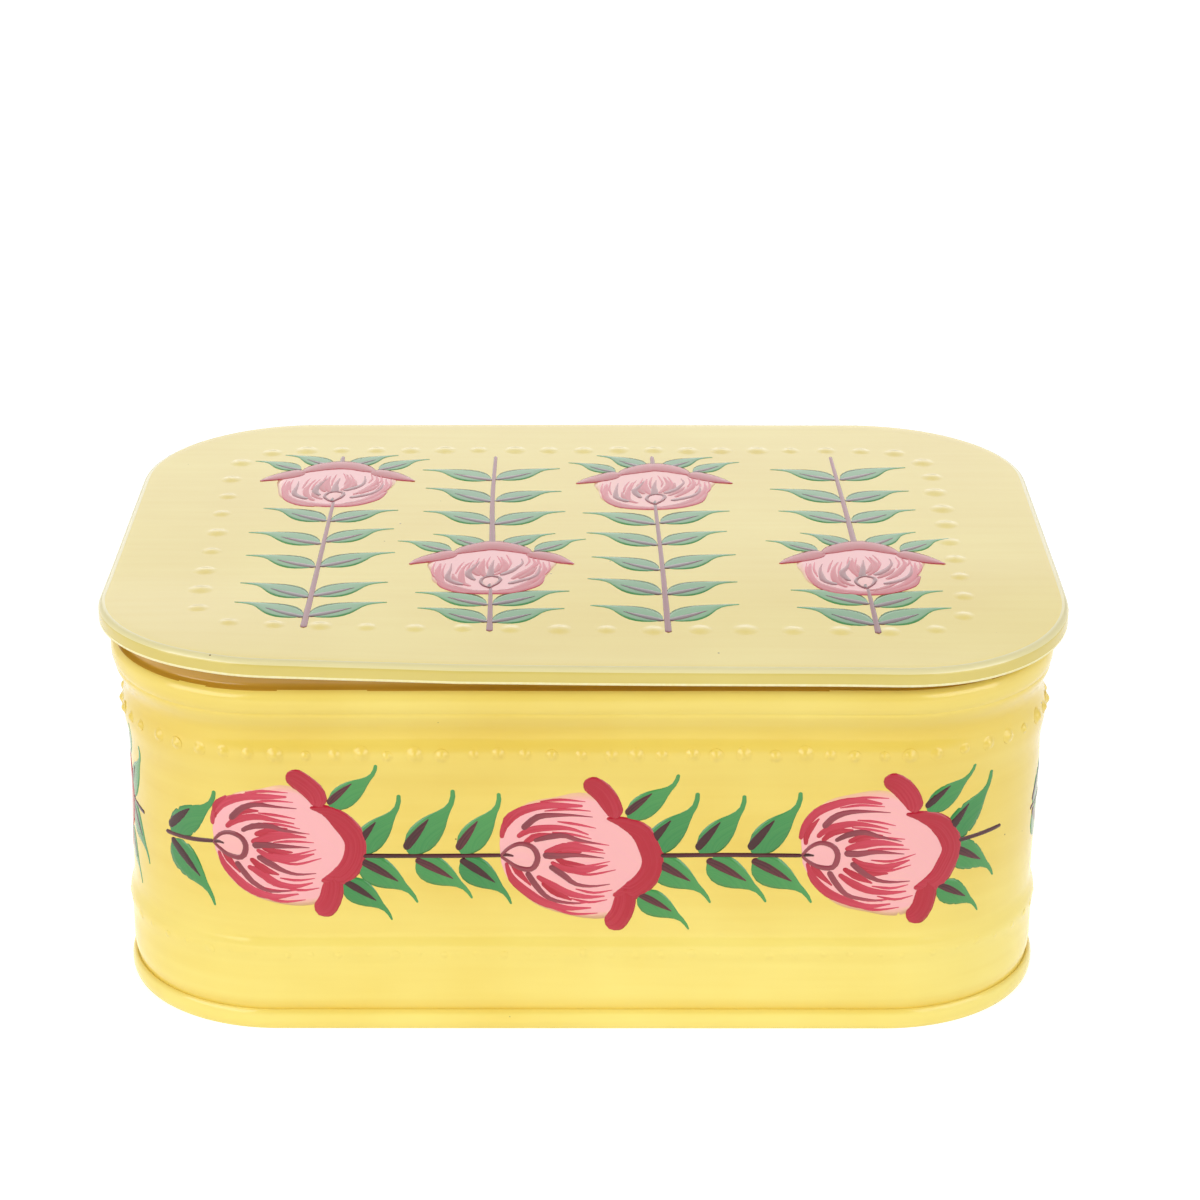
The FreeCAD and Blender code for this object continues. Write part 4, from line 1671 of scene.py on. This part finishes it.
flat_size = add(
    tree, "ShaderNodeCombineXYZ", {0: grown_size.outputs[0], 1: grown_size.outputs[0], 2: 1.0}
)
shape = add(tree, "GeometryNodeObjectInfo", {"Object": given["Leaf"]})
leaves = add(
    tree,
    "GeometryNodeInstanceOnPoints",
    {
        "Points": given["Geometry"],
        "Instance": shape.outputs["Geometry"],
        "Rotation": spin.outputs[0],
        "Scale": flat_size.outputs[0],
    },
)
tint = add(
    tree,
    "FunctionNodeRandomValue",
    {2: 0.0, 3: given["Shade spread"], "Seed": given["Seed"]},
    data_type="FLOAT",
)
tinted = add(
    tree,
    "GeometryNodeStoreNamedAttribute",
    {"Geometry": leaves.outputs[0], "Name": "shade", "Value": tint.outputs[1]},
    data_type="FLOAT",
    domain="INSTANCE",
)
close_tree(tree, tinted.outputs[0], given["Material"])
set_leaves = tree
print("tree", set_leaves.name)

# %% Leaves on their stems
TURN_SPREAD = math.radians(4)
SIZE_SPREAD = 0.05
SHADE_SPREAD = 0.3
SEED_STEP = 10


def leaves_grown(stations, seed):
    """Flat meshes of all leaves and of all veins, from stations of kind, place, turn in degrees and size."""
    bodies = []
    veins = []
    for number, kind in enumerate(LEAF_LINES):
        chosen = [station for station in stations if station[0] == kind]
        if not chosen:
            continue
        finishes = (leaf_enamel, maroon_enamel)
        for shape_mesh, finish, gathered in zip(leaf_shape(kind), finishes, (bodies, veins)):
            points = chain("leaf_points", [(*place, 0) for kind, place, turn, size in chosen], False)
            turns = [math.radians(turn) for kind, place, turn, size in chosen]
            points.attributes.new("turn", "FLOAT", "POINT").data.foreach_set("value", turns)
            sizes = [size for kind, place, turn, size in chosen]
            points.attributes.new("size", "FLOAT", "POINT").data.foreach_set("value", sizes)
            shape_object = scratch("leaf_shape", shape_mesh)
            gathered.append(
                grown(
                    points,
                    set_leaves,
                    leaf=shape_object,
                    turn_spread=TURN_SPREAD,
                    size_spread=SIZE_SPREAD,
                    shade_spread=SHADE_SPREAD,
                    seed=seed + SEED_STEP * number,
                    material=finish,
                )
            )
            bpy.data.objects.remove(shape_object)
    for group in (bodies, veins):
        if len(group) > 1:
            welded(group[0], *group[1:])
    return bodies[0], veins[0]


print("leaf kinds", list(LEAF_LINES))

# %% [markdown]
# ## Sprays round the wall
# The front has one stem with three flowers that open to the right, a pair of leaves round each crown and
# pairs along the stem between. The ends have two flowers each, and the back repeats the front.

# %% Lay out a spray
STEM_WIDTHS = (0.95, 0.85, 0.9, 0.8)
BESIDE_CROWN = (
    # kind, along and up from the cup, turn in degrees, size
    ("lifted", 17.9, 6.9, -14, 0.84),
    ("swept", 19.5, -6.3, 0, 0.88),
)
FIRST_PAIR = (
    # kind, along the stem from its start, turn in degrees, size
    ("lifted", 1.2, -10, 1.1),
    ("swept", 1.4, -6, 1.15),
)
UPPER_STEPS = (22.9, 32.3, 41.8)
LOWER_STEPS = (23.2, 33.4, 41.6)
CROWN_REACH = 23.0
ROOM_BEFORE_CUP = 9
STEM_BOW_MM = 0.3


def spray(layers, stations, middle, cups, start, end, chance):
    """A stem along the wall with flowers at the cups, measured from the spray's middle."""
    previous = Vector((middle + start[0], start[1]))
    for number, (along_wall, cup_height, stem_height, lean, size) in enumerate(cups):
        centre = Vector((middle + along_wall, cup_height))
        forward = Vector((math.cos(math.radians(lean)), math.sin(math.radians(lean)))) * size
        aside = Vector((-forward.y, forward.x))

        def put(u, v, centre=centre, forward=forward, aside=aside):
            return centre + forward * u + aside * v

        flower(layers, put, WALL_STYLE, chance)
        tip = put(CUP_TIP, 0.2)
        bow = (previous + tip) / 2 + Vector((0, chance.uniform(-STEM_BOW_MM, STEM_BOW_MM)))
        layers["maroon"].stroke([previous, bow, tip], STEM_WIDTHS, chance)
        previous = Vector((centre.x + CROWN_REACH * size, stem_height))
        for kind, along, up, turn, leaf_size in BESIDE_CROWN:
            stations.append((kind, put(along, up), turn, leaf_size))
        next_stop = cups[number + 1][0] if number + 1 < len(cups) else end[0]
        room = next_stop - along_wall - ROOM_BEFORE_CUP
        for kind, steps in (("lifted", UPPER_STEPS), ("swept", LOWER_STEPS)):
            for step in steps:
                if step == steps[0] or step < room:
                    stations.append((kind, (centre.x + step, stem_height), 0, 1.0))
    for kind, along, turn, leaf_size in FIRST_PAIR:
        stations.append((kind, (middle + start[0] + along, start[1]), turn, leaf_size))
    last = Vector((middle + end[0], end[1]))
    layers["maroon"].stroke([previous, (previous + last) / 2, last], STEM_WIDTHS, chance)


chance = random.Random(23)
wall_layers = colour_set()
wall_stations = []
# cups: along the wall from the spray's middle, height, the stem's height beyond the crown, lean in degrees
# and size; ends: where the stem starts and stops
LONG_CUPS = ((-63.7, 37.1, 35.4, 1.5, 1.03), (-10.9, 35.2, 35.4, 0.0, 1.07), (43.6, 35.4, 37.3, 3.0, 1.07))
SHORT_CUPS = ((-29.0, 36.5, 36.0, -1.0, 1.0), (16.3, 37.0, 37.2, 1.0, 1.03))
LONG_ENDS = ((-78.7, 36.2), (78.7, 37.8))
SHORT_ENDS = ((-44.0, 36.5), (47.6, 36.8))
for side in range(4):
    cups, ends = (SHORT_CUPS, SHORT_ENDS) if side % 2 else (LONG_CUPS, LONG_ENDS)
    spray(wall_layers, wall_stations, back_mm * side / 2, cups, *ends, chance)
print("wall leaves", len(wall_stations))

# %% Lay the wall's paint
LAYER_FINISH = {
    "pink": pink_enamel,
    "crimson": crimson_enamel,
    "maroon": maroon_enamel,
    "crown": crimson_enamel,
    "cup": pink_enamel,
    "cup_line": maroon_enamel,
}


def decorate(name, body, layers, stations, where, sheet_mesh, seed):
    """Lays all paint of one sheet, gathers it by colour and finishes one piece for each colour."""
    gathered = {}
    for key, layer in layers.items():
        finish = LAYER_FINISH[key]
        gathered.setdefault(finish.name, []).append(laid_on(layer.mesh(key), where, sheet_mesh, finish))
    bodies, veins = leaves_grown(stations, seed)
    gathered[leaf_enamel.name] = [laid_on(bodies, where, sheet_mesh, leaf_enamel)]
    gathered[maroon_enamel.name].append(laid_on(veins, where, sheet_mesh, maroon_enamel))
    for finish_name, meshes in gathered.items():
        if len(meshes) > 1:
            welded(meshes[0], *meshes[1:])
        finished_piece(name + "_" + finish_name.split("_enamel")[0], meshes[0], body)


decorate("wall", "box", wall_layers, wall_stations, on_wall, wall_mesh, 40)

# %% [markdown]
# ## Stems across the lid
# Four stems cross the lid from front to back. Two have their flower near the back, two near the front, and
# pairs of leaves fill the rest. Seen from the front through the varnish's glare, all of it looks paler.

# %% Lay out and paint the lid
LID_STEMS = (
    # x at the front, x at the back, y of the cup, ys of the leaf pairs
    (-50.2, -49.6, 20.0, (5.2, -6.2, -18.4, -34.0, -44.4)),
    (-16.7, -18.3, -26.2, (30.4, 17.4, 5.2, -37.2, -46.2)),
    (15.4, 14.2, 18.6, (4.6, -7.4, -19.8, -32.6, -44.4)),
    (53.6, 51.4, -26.1, (30.4, 18.2, 6.2, -37.0, -46.1)),
)
LID_FRONT_Y = -49.6
LID_BACK_Y = 44.4
LID_FLOWER_SCALE = (0.88, 1.03)
LID_CROWN_REACH = 22
LID_STEM_WIDTHS = (1.25, 1.0, 0.85, 0.7)
LID_STEM_SWAY = 0.006
LID_STEM_DRYNESS = (0.4, 0.4)
LID_LEAF_SIZE = 0.95
LID_LEAF_SHIFT_MM = 0.8
TOWARDS_BACK = 90
BEHIND_CROWN = (
    # kind, along and aside from the cup, turn in degrees, size
    ("lid_left", 18.4, 1.2, -8, 0.78),
    ("lid_right", 18.4, -1.2, 8, 0.78),
    ("lid_left", 16.0, 7.6, -4, 0.74),
    ("lid_right", 16.0, -7.6, 4, 0.74),
)

chance = random.Random(31)
lid_layers = colour_set()
lid_stations = []
for front_x, back_x, cup_y, pair_ys in LID_STEMS:

    def stem_x(y, front_x=front_x, back_x=back_x):
        return front_x + (back_x - front_x) * (y - LID_FRONT_Y) / (LID_BACK_Y - LID_FRONT_Y)

    def put(u, v, cup_y=cup_y, stem_x=stem_x):
        return Vector((stem_x(cup_y) - v * LID_FLOWER_SCALE[1], cup_y + u * LID_FLOWER_SCALE[0]))

    flower(lid_layers, put, LID_STYLE, chance)
    crown_y = cup_y + LID_CROWN_REACH * LID_FLOWER_SCALE[0]
    for low_y, high_y in ((LID_FRONT_Y, cup_y + CUP_TIP * LID_FLOWER_SCALE[0]), (crown_y, LID_BACK_Y)):
        middle_y = (low_y + high_y) / 2
        sway = LID_STEM_SWAY * (high_y - low_y)
        knots = [Vector((stem_x(y) + chance.uniform(-sway, sway), y)) for y in (low_y, middle_y, high_y)]
        lid_layers["maroon"].stroke(knots, LID_STEM_WIDTHS, chance, dry=LID_STEM_DRYNESS)
    for y in pair_ys:
        for kind in ("lid_left", "lid_right"):
            spot = (stem_x(y), y + chance.uniform(-LID_LEAF_SHIFT_MM, LID_LEAF_SHIFT_MM))
            lid_stations.append((kind, spot, TOWARDS_BACK, LID_LEAF_SIZE))
    for kind, along, aside, turn, size in BEHIND_CROWN:
        spot = (stem_x(cup_y) - aside, cup_y + along)
        lid_stations.append((kind, spot, TOWARDS_BACK + turn, size))
print("lid leaves", len(lid_stations))
decorate("lid", "lid", lid_layers, lid_stations, on_lid, lid_mesh, 70)
